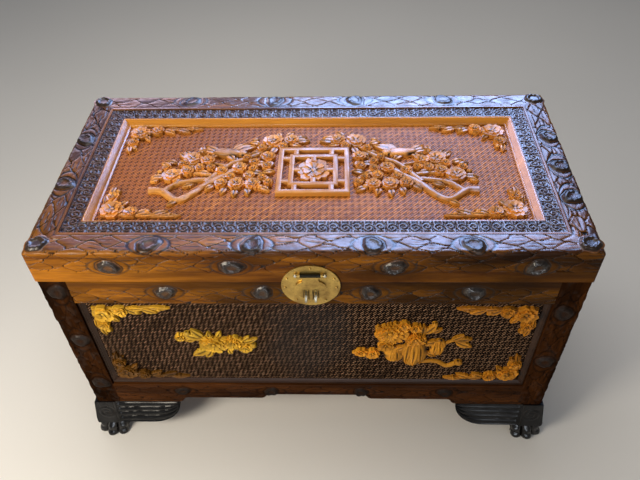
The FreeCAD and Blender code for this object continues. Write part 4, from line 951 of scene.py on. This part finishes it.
def matGrid(width, height, seed, spec):
    # strips run both ways at 45 degrees, four grid points to a strip; s and t count the points across the two sets.
    # a strip floats over most of its crossings and dives under the rest: it is high along its middle, lower against
    # a neighbour that floats beside it, and lowest where it dives under
    nx, ny = (int(round(size / spec["strip"] * 4)) for size in (width, height))
    gx, gy = np.meshgrid(np.arange(nx + 1), np.arange(ny + 1), indexing="ij")
    s, t = gx - gy + 4 * ny, gx + gy
    i, j, p, q = s // 4, t // 4, s % 4, t % 4
    floats = np.array(spec["over"], bool)
    rows, period = floats.shape
    step = lambda i, j: j + spec["shift"] * (i // rows)
    over = lambda i, j: floats[i % rows, step(i, j) % period]
    here, before, after, left, right = over(i, j), over(i, j - 1), over(i, j + 1), over(i - 1, j), over(i + 1, j)
    dive, groove, ridge = spec["dive"], spec["groove"], np.array([0.0, spec["crest"], 1.0, spec["crest"]])
    ends = lambda at, under, low, high: np.select([at == 0, at == 1, at == 3], [under, low, high], 1.0)
    slash = ends(q, here & before, np.where(before, 1, dive), np.where(after, 1, dive))
    other = ends(p, ~here & ~left, np.where(left, dive, 1), np.where(right, dive, 1))
    acrossSlash = np.where(p == 0, groove * left, ridge[p])
    acrossOther = np.where(q == 0, groove * ~before, ridge[q])
    high = np.where(here, acrossSlash * slash, acrossOther * other)
    rng = np.random.default_rng(seed)
    luckS, luckT, luck = rng.random(i.max() + 2), rng.random(j.max() + 2), rng.random((64, 64))
    run = (step(i, j) - floats.argmin(1)[i % rows]) // period  # each float of a strip has its own tone too
    own = np.where(here, luck[i % 64, run % 64], luck[j % 64, i % 64])
    x, y = gx / nx - 0.5, gy / ny - 0.5
    tone = 0.35 * np.where(here, luckS[i], luckT[j]) + 0.65 * own
    # darker to the left and below
    tone = tone - spec["fade"] * smooth(0.1, -0.45, x) - spec["fadeBelow"] * smooth(-0.2, -0.5, y)
    strips = trio(np.where(here, t, s), np.where(here, s, t) + 300 * here, 0) * spec["strip"] / 4
    return x * width, y * height, high, tone, here, strips


def matPieces(name, halves, seed, toWorld, material, body, node, parts, spec):
    # the woven sheet, closed underneath, in one or more lengths
    x, y, high, tone, here, strips = matGrid(2 * halves[0], 2 * halves[1], seed, spec)
    cuts = np.linspace(0, len(x) - 1, parts + 1).astype(int)
    for index in range(parts):
        pick = slice(cuts[index], cuts[index + 1] + 1)
        padded = lambda a: np.pad(a[pick], ((1, 1), (1, 1)) + ((0, 0),) * (a.ndim - 2), "edge")
        up = spec["lift"] * padded(high)
        up[[0, -1], :] = up[:, [0, -1]] = spec["rim"]  # the sheet's edges turn down to its back
        nu, nv = up.shape
        slash = padded(here)[:-1, :-1].reshape(-1, 1)
        quads = gridQuads(nu, nv)
        quads = np.where(slash, quads, np.roll(quads, 1, 1))  # each split along its strip
        grid = np.arange(nu * nv).reshape(nu, nv)
        rim = np.concatenate([grid[0], grid[1:, -1], grid[-1, -2::-1], grid[-2:0:-1, 0]])
        marks = trio(padded(tone), padded(here), padded(high))
        points = toWorld(padded(x), padded(y), up - spec["sink"])
        label = "%s_%d" % (name, index + 1) if parts > 1 else name
        shape = points, [quads, rim[None]], marks
        makePiece(label, shape, body, material, (node,), spec["sharp"], strips=padded(strips))


def onLid(x, y, h):
    return trio(x, y, chest["matTop"] + h) * mm


def onSide(side):
    face = sides[side]["out"] - chest["strip"] + chest["mat"]
    return lambda u, v, h: place(side, u, face + h, panelMiddle + v)


lidPanel = lidOpening(chest["lidMould"])
sidePanels = {side: sideOpening(side, chest["panelMould"]) for side in carvedSides}
matPieces("lid_woven_mat", lidPanel, 2, onLid, lidBamboo, "lid", "lid_weave", 2, lidWeave)
for name, seed, parts in (("front", 5, 2), ("left", 8, 1), ("right", 9, 1)):
    matPieces(name + "_woven_mat", sidePanels[name], seed, onSide(name), sideBamboo, "case", name + "_weave",
              parts, sideWeave)
print("mats woven")


# the applied carvings: each element stands on straight sides down to the mat
def asColumns(rows):
    # the rows' numbers, ready to spread over each element's own grid
    return np.asarray(rows, float).T[:, :, None, None]


def petalSet(rows):
    # petals (x, y, aim, inner, outer, spread, low, high, dish, luck): a sector whose rim is rounded, notched and waved
    x, y, aim, inner, outer, spread, low, high, dish, luck = asColumns(rows)
    across = np.linspace(-1, 1, 7)[None, :, None]
    q = np.array([0, 0.3, 0.6, 0.86, 1.0, 1.0, 0.0])[None, None]
    top = (np.arange(7) < 5)[None, None]
    wave = 0.04 * np.sin(8 * across + 6.3 * luck)
    rim = outer * (1 - 0.24 * np.abs(across) ** 2.6 - 0.08 * bell(across, 0, 0.2) + wave)
    reach = inner + (rim - inner) * q
    turn = aim + spread * across
    h = low + (high - low) * q**1.25 + dish * (across**2 - 0.35) * np.sin(math.pi * q * 0.85)
    h = h + 0.55 * np.sin(5 * across + 9 * luck) * q
    points = trio(x + reach * np.cos(turn), y + reach * np.sin(turn), np.where(top, h, 0))
    dark = np.clip(0.85 * (1 - q / 0.5), 0, 1) + 0.5 * smooth(0.6, 1.0, np.abs(across)) * (1 - q * 0.6)
    marks = trio(np.clip(np.where(top, dark, 0), 0, 1), 0.0, 0.3 + 0.4 * luck + 0.12 * q)
    return points, manySweeps(len(points), 7, 7), marks


def leafSet(rows):
    # leaves (x, y, aim, length, width, high, bend, teeth, luck): blades folded along a cut midrib, with notched edges
    x, y, aim, length, width, high, bend, teeth, luck = asColumns(rows)
    t = np.array([0, 0.07, 0.16, 0.26, 0.36, 0.46, 0.56, 0.66, 0.76, 0.86, 0.94, 1.0])[None, :, None]
    s = np.array([-1, -0.5, 0, 0.5, 1, 1, -1])[None, None]
    top = (np.arange(7) < 5)[None, None]
    midrib = bell(s, 0, 0.25)
    half = width / 2 * np.sin(math.pi * (0.03 + 0.95 * t) ** 0.85) ** 0.85 * (1 + teeth * np.sin(34 * t + 6 * luck))
    side = bend * length * t * (1 - t) + s * half
    h = high * (0.55 + 0.45 * np.sin(math.pi * (0.1 + 0.8 * t))) - 1.9 * midrib - 1.0 * (np.abs(s) > 0.9)
    h = h + 0.4 * np.sin(26 * t + 5 * luck) * np.abs(s)
    cosine, sine = np.cos(aim), np.sin(aim)
    points = trio(x + cosine * length * t - sine * side, y + sine * length * t + cosine * side, np.where(top, h, 0))
    marks = trio(np.where(top, 0.8 * midrib * smooth(1.0, 0.7, t), 0), 0.0, 0.3 + 0.4 * luck)
    return points, manySweeps(len(points), 12, 7), marks


def domeSet(rows):
    # buds and flower hearts (x, y, rx, ry, aim, base, rise, ribs, luck): a cushion over an ellipse, ribbed round
    # its sides
    x, y, rx, ry, aim, base, rise, ribs, luck = asColumns(rows)
    q = np.array([0.04, 0.3, 0.55, 0.76, 0.92, 1.0, 1.0])[None, :, None]
    angle = np.linspace(0, 2 * math.pi, 18, endpoint=False)[None, None]
    foot = (np.arange(7) == 6)[None, :, None]
    rib = np.cos(ribs * angle + 4 * luck)
    a, b = rx * q * np.cos(angle), ry * q * np.sin(angle)
    h = base + rise * np.sqrt(np.maximum(1 - q * q, 0)) + 0.14 * rise * rib * q
    cosine, sine = np.cos(aim), np.sin(aim)
    points = trio(x + cosine * a - sine * b, y + sine * a + cosine * b, np.where(foot, 0, h))
    dark = np.where(foot, 0, 0.7 * smooth(-0.3, -1.0, rib) * q + 0.35 * smooth(0.8, 1.0, q))
    return points, manySweeps(len(points), 7, 18), trio(dark, 0.0, 0.35 + 0.4 * luck)


def boughShape(path, thick, thin, high, luck):
    # a bough: a flat-sided rounded section carried along a smooth line through a few points, rough with bark
    path = np.asarray(path, float)
    ends = np.concatenate([2 * path[:1] - path[1:2], path, 2 * path[-1:] - path[-2:-1]])
    t = np.linspace(0, 1, 8, endpoint=False)[None, :, None]
    a, b, c, d = (ends[i:len(ends) - 3 + i][:, None] for i in range(4))
    line = 0.5 * (2 * b + (c - a) * t + (2 * a - 5 * b + 4 * c - d) * t**2 + (3 * b - a - 3 * c + d) * t**3)
    line = np.concatenate([line.reshape(-1, 2), path[-1:]])
    run = np.gradient(line, axis=0)
    run = run / np.linalg.norm(run, axis=1)[:, None]
    count = len(line)
    share = np.linspace(0, 1, count)[:, None]
    half = 0.5 * (thick + (thin - thick) * share) * (1 + 0.22 * unevenness(share * count / 3, 0 * share, luck))
    s = np.array([-1, -1, -0.55, 0, 0.55, 1, 1])[None]
    level = np.array([0, 0.62, 0.9, 1, 0.88, 0.55, 0])[None]
    bark = 0.22 * unevenness(share * count / 1.7, 2.2 * s, luck + 3) * (level > 0)
    h = high * (1 - 0.25 * share) * (level + bark)
    points = trio(line[:, :1] - run[:, 1:] * s * half, line[:, 1:] + run[:, :1] * s * half, h)
    return points, closedSweep(count, 7), trio(np.clip(-6 * bark, 0, 1) * (level > 0.5), 0.0, 0.45)


whorls = dict(  # outer and inner reach in radii, height at the heart and at the tip
    blossom=((1.0, 0.2, 5.0, 8.2), (0.66, 0.12, 7.0, 9.8)),
    mum=((1.0, 0.3, 3.0, 7.6), (0.76, 0.2, 5.0, 9.4), (0.5, 0.08, 6.5, 10.8)),
)


def blossomRows(rng, x, y, radius, petals=5):
    # two whorls of overlapping petals round a ribbed heart
    turn, step, rows = rng.random() * 6.3, 2 * math.pi / petals, []
    for ring, (reach, inner, low, high) in enumerate(whorls["blossom"]):
        for k in range(petals):
            lift = 1.1 * (k % 2) + 0.5 * rng.random()
            outer = reach * radius * (0.93 + 0.14 * rng.random())
            aim = turn + (k + 0.5 * ring) * step
            rows.append((x, y, aim, inner * radius, outer, 0.56 * step, low + lift, high + lift, 1.5, rng.random()))
    return rows, (x, y, 0.2 * radius, 0.2 * radius, 0, 6.0, 3.2, 5, rng.random())


def mumRows(rng, x, y, radius, petals):
    # three whorls of narrow petals, each shorter and higher than the last
    rows = []
    for ring, (reach, inner, low, high) in enumerate(whorls["mum"]):
        count = max(5, int(petals * (1 - 0.2 * ring)))
        step = 2 * math.pi / count
        for k in range(count):
            outer = reach * radius * (0.86 + 0.26 * rng.random())
            aim, top = (k + 0.5 * (ring % 2)) * step, high + 0.8 * (k % 2)
            rows.append((x, y, aim, inner * radius, outer, 0.517 * step, low, top, -0.9, rng.random()))
    return rows, (x, y, 0.14 * radius, 0.14 * radius, 0, 8.0, 2.2, 6, rng.random())


def leafRow(rng, x, y, degrees, length, width, high=7.0, bend=0.0, teeth=0.16):
    return (x, y, math.radians(degrees), length, width, high + 1.2 * rng.random(), bend, teeth, rng.random())


def budRow(rng, x, y, rx, ry, degrees=0, ribs=5, base=4.0, rise=5.5):
    return (x, y, rx, ry, math.radians(degrees), base, rise, ribs, rng.random())


def spray(rng, boughs=(), blossoms=(), mums=(), leaves=(), buds=()):
    # one carving's elements, given as plain rows, as a list of shapes in its own plane
    shapes = [boughShape(*row, int(40 * rng.random())) for row in boughs]
    flowers = [blossomRows(rng, *row) for row in blossoms] + [mumRows(rng, *row) for row in mums]
    petals = [row for rows, _ in flowers for row in rows]
    domes = [heart for _, heart in flowers] + [budRow(rng, *row) for row in buds]
    blades = [leafRow(rng, *row) for row in leaves]
    return shapes + [make(rows) for make, rows in ((petalSet, petals), (domeSet, domes), (leafSet, blades)) if rows]


carvingFinish = dict(sharp=50.0, dull=0.12, low=2.0, high=5.0)


def carvingPiece(name, shapes, toWorld, body, material, node, spec=carvingFinish):
    # the shapes of one carving as one piece, polished on what stands up
    points, faces, marks = joinShapes(shapes)
    polish = spec["dull"] + (1 - spec["dull"]) * smooth(spec["low"], spec["high"], points[:, 2])
    shape = toWorld(*points.T), faces, marks
    makePiece(name, shape, body, material, (node,), spec["sharp"], polish)


# rows: boughs (path, thick, thin, high), blossoms (x, y, radius), mums (x, y, radius, petals),
# leaves (x, y, degrees, length, width), buds (x, y, half length, half width, degrees)
branch = dict(  # the bough on the left of the lid; the right one mirrors it
    boughs=(
        (((-323, -66), (-298, -68), (-264, -94), (-238, -78), (-213, -48), (-186, -24), (-158, 2)), 17, 12, 9.5),
        (((-296, -72), (-276, -50), (-256, -40), (-226, -33), (-204, -32)), 12, 10, 9.0),
        (((-216, -42), (-176, 12), (-150, 30), (-122, 46), (-98, 70), (-66, 92)), 12, 7, 8.0),
        (((-206, -18), (-238, -12), (-272, -18)), 9, 6, 6.5),
        (((-196, -34), (-152, -46), (-108, -52)), 9, 6, 6.5),
        (((-178, 10), (-206, 20), (-246, 28)), 8, 5, 6.5),
    ),
    blossoms=(
        (-285, -22, 21), (-256, -8, 14), (-250, 31, 21), (-219, 25, 15), (-183, -47, 14), (-152, -49, 17),
        (-119, -50, 16), (-186, -8, 13), (-150, 2, 16), (-88, 92, 22), (-50, 95, 17), (-94, 38, 15), (-300, 2, 10),
        (-232, 2, 12), (-210, 3, 10), (-268, 14, 11), (-234, 50, 10), (-166, -27, 11), (-128, -24, 13),
        (-103, -31, 10), (-89, -47, 10), (-122, 20, 11), (-138, 34, 10), (-122, -2, 10), (-96, 6, 11),
        (-110, 66, 11), (-66, 72, 11),
    ),
    leaves=(
        (-128, 14, 5, 34, 15), (-136, -8, -14, 36, 16), (-108, -24, -30, 26, 13), (-46, 100, 12, 30, 14),
        (-92, 26, -80, 24, 14), (-110, 56, 200, 26, 12), (-262, 44, 120, 20, 12), (-210, -14, 170, 30, 14),
        (-236, -46, 205, 26, 11), (-170, -30, 150, 24, 12), (-116, 84, 165, 24, 13), (-228, 44, 60, 18, 11),
        (-310, -34, 200, 18, 10), (-262, -98, 215, 22, 11), (-160, 22, 100, 16, 9), (-62, 106, 50, 26, 13),
        (-40, 92, 5, 30, 14), (-55, 84, -18, 28, 13), (-80, 72, -110, 28, 14), (-98, 54, -125, 26, 12),
        (-76, 106, 100, 20, 12), (-107, -36, -4, 28, 14), (-106, -56, -32, 26, 13), (-130, -60, -78, 22, 13),
        (-152, -64, -96, 22, 13), (-172, -58, -112, 22, 13), (-196, -50, -135, 24, 12), (-103, -12, 8, 26, 13),
        (-103, 16, -6, 24, 13), (-300, -24, 188, 28, 14), (-292, 6, 150, 26, 13), (-266, 36, 132, 26, 13),
        (-236, 54, 92, 22, 13), (-214, 38, 46, 24, 13), (-262, -32, 232, 24, 13), (-244, 14, 205, 22, 12),
        (-282, 20, 165, 24, 13),
    ),
    buds=((-104, -58, 7, 6), (-126, 96, 7, 6, 30), (-312, -10, 6, 5), (-236, 52, 6, 5), (-128, -28, 7, 6, 20)),
)
bird = dict(  # in flight over the bough: body and head (with ribs, base and rise), then wings, tail and beak
    bodies=((-181, 50, 31, 12, -6, 3, 9.0, 4.5), (-149, 46, 10, 8, 0, 3, 9.5, 4.0)),
    feathers=(
        (-174, 52, 24, 56, 20), (-174, 54, 40, 44, 15), (-182, 46, -50, 28, 15), (-198, 54, 146, 38, 14),
        (-202, 52, 164, 38, 13), (-143, 46, -10, 13, 6),
    ),
    feather=(9.0, 0.15, 0.05),  # high, bend, teeth
)


def branchPiece(name, flip, seed):
    rng = np.random.default_rng(seed)
    shapes = spray(rng, **branch)
    shapes += spray(rng, buds=bird["bodies"], leaves=[row + bird["feather"] for row in bird["feathers"]])
    carvingPiece("carved_" + name, shapes, lambda x, y, h: onLid(flip * x, y, h), "lid", honeyWood, name)


branchPiece("lid_branch_left", 1, 3)
branchPiece("lid_branch_right", -1, 8)

cornerSpray = dict(  # fills a panel's lower left corner, along both edges
    boughs=((((6, 11), (45, 12), (100, 8), (152, 5)), 13, 5, 6.0), (((10, 6), (13, 34), (9, 62), (8, 86)), 12, 5, 6.0)),
    blossoms=((25, 23, 23), (62, 15, 14), (17, 59, 13)),
    leaves=(
        (42, 12, 32, 30, 13), (72, 10, 26, 32, 13), (78, 8, 4, 34, 11), (102, 8, 22, 34, 13), (118, 6, 2, 42, 10),
        (14, 38, 62, 26, 12), (10, 66, 78, 28, 11), (11, 62, 44, 26, 11), (38, 34, 48, 20, 11), (46, 8, -8, 26, 9),
        (6, 40, 96, 28, 8),
    ),
    buds=((94, 17, 6, 5), (24, 76, 5, 5), (138, 10, 5, 4), (44, 26, 5, 5)),
)


def cornerPieces(name, panel, toWorld, body, finishes, node, seed, inset=4.0):
    # one spray to a corner from lower left round to upper left; corners of one finish are one piece
    rng, groups = np.random.default_rng(seed), {}
    halfA, halfB = panel[0] - inset, panel[1] - inset
    for (sa, sb), finish in zip(((1, 1), (-1, 1), (-1, -1), (1, -1)), finishes):
        points, faces, marks = joinShapes(spray(rng, **cornerSpray))
        spot = trio(-sa * (halfA - points[:, 0]), -sb * (halfB - points[:, 1]), points[:, 2])
        groups.setdefault(finish, []).append((spot, faces, marks))
    for index, (finish, shapes) in enumerate(groups.items()):
        label = "%s_%d" % (name, index + 1) if len(groups) > 1 else name
        carvingPiece(label, shapes, toWorld, body, finish, node)


cornerPieces("carved_lid_corners", lidPanel, onLid, "lid", 4 * (honeyWood,), "lid_corner_carvings", 4)
for name, finishes, node, seed in (
    ("front", (shadedGold, goldWood, goldWood, litGold), "front_corner_carvings", 6),
    ("left", 4 * (goldWood,), "end_corner_carvings", 12), ("right", 4 * (goldWood,), "end_corner_carvings", 13),
):
    cornerPieces("carved_%s_corners" % name, sidePanels[name], onSide(name), "case", finishes, node, seed)

leftSpray = dict(  # u along the front, z up from the floor
    boughs=(
        (((-268, 350), (-240, 342), (-205, 330), (-160, 328), (-132, 330)), 11, 7, 6.0),
        (((-246, 288), (-222, 306), (-200, 320)), 10, 8, 6.0),
    ),
    blossoms=((-273, 351, 11), (-143, 316, 15)),
    mums=((-207, 327, 29, 11), (-166, 331, 23, 10)),
    leaves=(
        (-226, 346, 128, 36, 19), (-232, 346, 158, 36, 18), (-240, 346, 196, 26, 13), (-220, 308, 212, 42, 20),
        (-214, 302, 236, 26, 14), (-146, 332, 24, 34, 12), (-144, 336, 52, 20, 10), (-196, 350, 66, 18, 11),
        (-178, 308, -70, 16, 10), (-212, 352, 100, 14, 10),
    ),
    buds=((-126, 322, 8, 7), (-256, 362, 7, 6)),
)
rightSpray = dict(
    boughs=(
        (((214, 262), (232, 267), (258, 265), (280, 250), (302, 264)), 8, 11, 6.5),
        (((86, 300), (122, 304), (160, 316), (206, 322), (256, 326), (284, 340), (304, 350)), 8, 6, 5.5),
        (((196, 340), (204, 366), (226, 378)), 8, 6, 5.5),
    ),
    blossoms=((121, 298, 16), (97, 301, 13), (203, 385, 13), (180, 392, 13), (146, 326, 17)),
    mums=((154, 366, 35, 15), (206, 346, 22, 11)),
    leaves=(  # the first (with high, bend and teeth) lie along the three closed flowers
        (206, 338, -90, 84, 15, 10.6, 0.0, 0.03), (195, 334, -93, 72, 12, 9.8, -0.08, 0.03),
        (217, 334, -87, 72, 12, 9.8, 0.08, 0.03), (163, 316, -95, 46, 11, 9.2, -0.06, 0.04),
        (170, 316, -86, 46, 11, 9.2, 0.06, 0.04), (249, 342, -94, 48, 11, 9.2, -0.06, 0.04),
        (256, 342, -86, 48, 11, 9.2, 0.06, 0.04), (230, 332, 20, 26, 14), (190, 344, 120, 26, 14),
        (232, 300, -30, 24, 12), (184, 318, 200, 22, 12), (222, 364, 54, 38, 17), (218, 362, 88, 32, 14),
        (236, 368, 30, 24, 11), (284, 342, 8, 36, 16), (288, 336, -26, 38, 16), (280, 342, 38, 28, 12),
        (98, 300, 184, 20, 11), (170, 388, 20, 20, 9),
    ),
    buds=(  # two buds, then the closed flowers with their ribs, base and rise
        (302, 264, 9, 8), (240, 396, 6, 5), (206, 298, 27, 44, 0, 4, 5.0, 4.0),
        (165, 294, 20, 27, 8, 4, 4.5, 3.8), (253, 318, 16, 27, -6, 4, 4.5, 3.8),
    ),
)


def onFront(u, z, h):
    return onSide("front")(u, z - panelMiddle, h)


for name, rows, finish, seed in (("left", leftSpray, litGold, 21), ("right", rightSpray, warmGold, 22)):
    shapes = spray(np.random.default_rng(seed), **rows)
    carvingPiece("carved_spray_" + name, shapes, onFront, "case", finish, "front_spray_" + name)

fret = dict(half=73.0, bar=11.0, thick=10.0, middleY=-8.0, chamfer=1.2, petals=8, seed=31)


def fretPiece(spec=fret):
    # nested square frames of chamfered bar, tied by short bars, with a flower in the middle
    half, bar, thick, edge = spec["half"], spec["bar"], spec["thick"], spec["chamfer"]
    inner = half - 2.1 * bar
    across = np.array([0, 0, edge, bar - edge, bar, bar])
    level = np.array([0, thick - edge, thick, thick, thick - edge, 0])
    even = lambda points: np.broadcast_to(np.array([0, 0, 0.5]), points.shape)
    shapes = []
    for outer in (half, inner):
        points = trio(*mouldLoop(outer, outer, list(zip(across, level))))
        shapes.append((points, [gridQuads(4, 6, True, True)], even(points)))
    ties = [(offset, inner - 1, inner + 1.1 * bar + 1) for offset in (-0.5 * half, 0.5 * half)]
    ties.append((0.0, inner - bar - 12, inner - bar + 1))
    for offset, low, high in ties:
        a, b = (across - bar / 2 + offset)[None], np.array([low, high])[:, None]
        for c, s in ((1, 0), (0, 1), (-1, 0), (0, -1)):  # turned to each quarter
            points = trio(c * a - s * b, s * a + c * b, level[None])
            shapes.append((points, closedSweep(2, 6), even(points)))
    rng = np.random.default_rng(spec["seed"])
    shapes += spray(rng, blossoms=((0, 0, inner - bar - 4, spec["petals"]),))
    toWorld = lambda x, y, h: onLid(x, y + spec["middleY"], h)
    carvingPiece("carved_medallion", shapes, toWorld, "lid", honeyWood, "lid_medallion")


fretPiece()
print("carvings applied")

keptNodes = (  # CAD pieces that stay as they are
    (boardWood["x"], ("front_board", "back_board", "bottom_board", "lid_board")),
    (boardWood["y"], ("left_board", "right_board")),
    (backWood, ("back_top_rail", "back_apron")),
    (haspBrass, ("hasp",)),
    (paleMetal, ("hasp_pin", "padlock_staples")),
    (brass, ("lock_plate_upper", "lock_plate_lower", "hinge_lid_leaves", "hinge_case_leaves", "hinge_pins",
             "lid_screws", "case_screws", "lid_plate_nails", "case_plate_nails")),
)
for finish, names in keptNodes:
    for name in names:
        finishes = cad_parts[name].data.materials
        finishes.clear()
        finishes.append(finish)
print("kept nodes finished")

lamps = (  # name, place, aimed at, size, power, colour; a glint is a card for reflections only
    ("skyGlint", (0.62, 2.4, 2.6), (0.1, 0.0, 0.6), (2.0, 2.0), 310.0, (0.36, 0.53, 1.0)),
    ("sideGlint", (-1.5, 2.3, 1.4), (0.2, 0.0, 0.6), (1.5, 0.9), 32.0, (0.9, 0.74, 1.0)),
    ("hazeGlint", (-1.4, 2.4, 3.3), (0.0, -0.2, 0.6), (1.4, 1.2), 13.0, (0.55, 0.4, 1.0)),
    ("frontGlint", (0.1, -2.4, 0.45), (0.0, -0.25, 0.3), (1.8, 0.5), 16.0, (0.85, 0.92, 1.0)),
    ("spotGlint", (-0.3, -2.0, 1.9), (0.0, -0.25, 0.5), (0.35, 0.35), 8.0, (0.9, 0.95, 1.0)),
    ("ceiling", (-0.2, 0.5, 2.6), (0.0, 0.0, 0.5), (1.8, 1.4), 31.0, (1.0, 0.96, 0.91)),
    ("leftKey", (-0.9, -0.95, 1.05), (-0.2, -0.25, 0.45), (0.5, 0.5), 15.0, (1.0, 0.9, 0.74)),
    ("frontFill", (1.4, -2.6, 1.6), (0.0, -0.2, 0.3), (2.0, 2.0), 8.0, (1.0, 0.97, 0.94)),
)
room = dict(floor=20.0, floorTones=((0.78, 0.765, 0.74), (0.82, 0.805, 0.78)), sky=(0.82, 0.86, 0.93), skyPower=0.16)


def studio(spec=room):
    # a plain pale floor, the lamps and a faint even sky
    scene, reach = bpy.context.scene, spec["floor"]
    mesh = bpy.data.meshes.new("floor")
    mesh.from_pydata([(x * reach, y * reach, 0) for x, y in ((-1, -1), (1, -1), (1, 1), (-1, 1))], [], [(0, 1, 2, 3)])
    material, tree, surface = newMaterial("paleFloor", {"Roughness": 0.8, "Specular IOR Level": 0.0})
    cloud = noiseNode(tree, objectSpot(tree), 1.5, 2.0)
    feed(tree, surface["Base Color"], mixColour(tree, cloud, *spec["floorTones"]))
    mesh.materials.append(material)
    floor = bpy.data.objects.new("floor", mesh)
    scene.collection.objects.link(floor)
    for name, spot, aim, size, power, tint in lamps:
        lamp = bpy.data.lights.new(name, "AREA")
        lamp.shape = "RECTANGLE"
        lamp.size, lamp.size_y, lamp.energy, lamp.color = *size, power, tint
        holder = bpy.data.objects.new(name, lamp)
        x, y, z = (a - b for a, b in zip(aim, spot))
        holder.location = spot
        holder.rotation_euler = (math.atan2(math.hypot(x, y), -z), 0.0, math.atan2(y, x) - math.pi / 2)
        holder.visible_diffuse = "Glint" not in name
        holder.visible_camera = False
        scene.collection.objects.link(holder)
    world = bpy.data.worlds.new("studio")
    world.use_nodes = True
    sky = world.node_tree.nodes["Background"].inputs
    feed(world.node_tree, sky["Color"], spec["sky"])
    feed(world.node_tree, sky["Strength"], spec["skyPower"])
    scene.world = world
    scene.view_settings.view_transform = "Standard"


view = dict(  # degrees; the focal length is in pixels of a picture this wide
    spot=(0.05276, -1.00723, 1.39255), pitch=44.939, yaw=-2.527, roll=1.817, focal=631.145, wide=640, sensor=36.0)


def photoCamera(spec=view):
    # forward from pitch and yaw; the picture's right and down are then rolled about it
    p, y, r = (math.radians(spec[k]) for k in ("pitch", "yaw", "roll"))
    ahead = np.array([math.sin(y) * math.cos(p), math.cos(y) * math.cos(p), -math.sin(p)])
    right = np.array([math.cos(y), -math.sin(y), 0.0])
    down = np.cross(ahead, right)
    right, down = math.cos(r) * right + math.sin(r) * down, -math.sin(r) * right + math.cos(r) * down
    lens = bpy.data.cameras.new("photoView")
    lens.sensor_width, lens.lens = spec["sensor"], spec["focal"] / spec["wide"] * spec["sensor"]
    lens.clip_start, lens.clip_end = 0.05, 50.0
    camera = bpy.data.objects.new("photoView", lens)
    matrix = np.eye(4)
    matrix[:3, 0], matrix[:3, 1], matrix[:3, 2], matrix[:3, 3] = right, -down, -ahead, spec["spot"]
    camera.matrix_world = Matrix(matrix.tolist())
    bpy.context.scene.collection.objects.link(camera)
    bpy.context.scene.camera = camera


studio()
photoCamera()
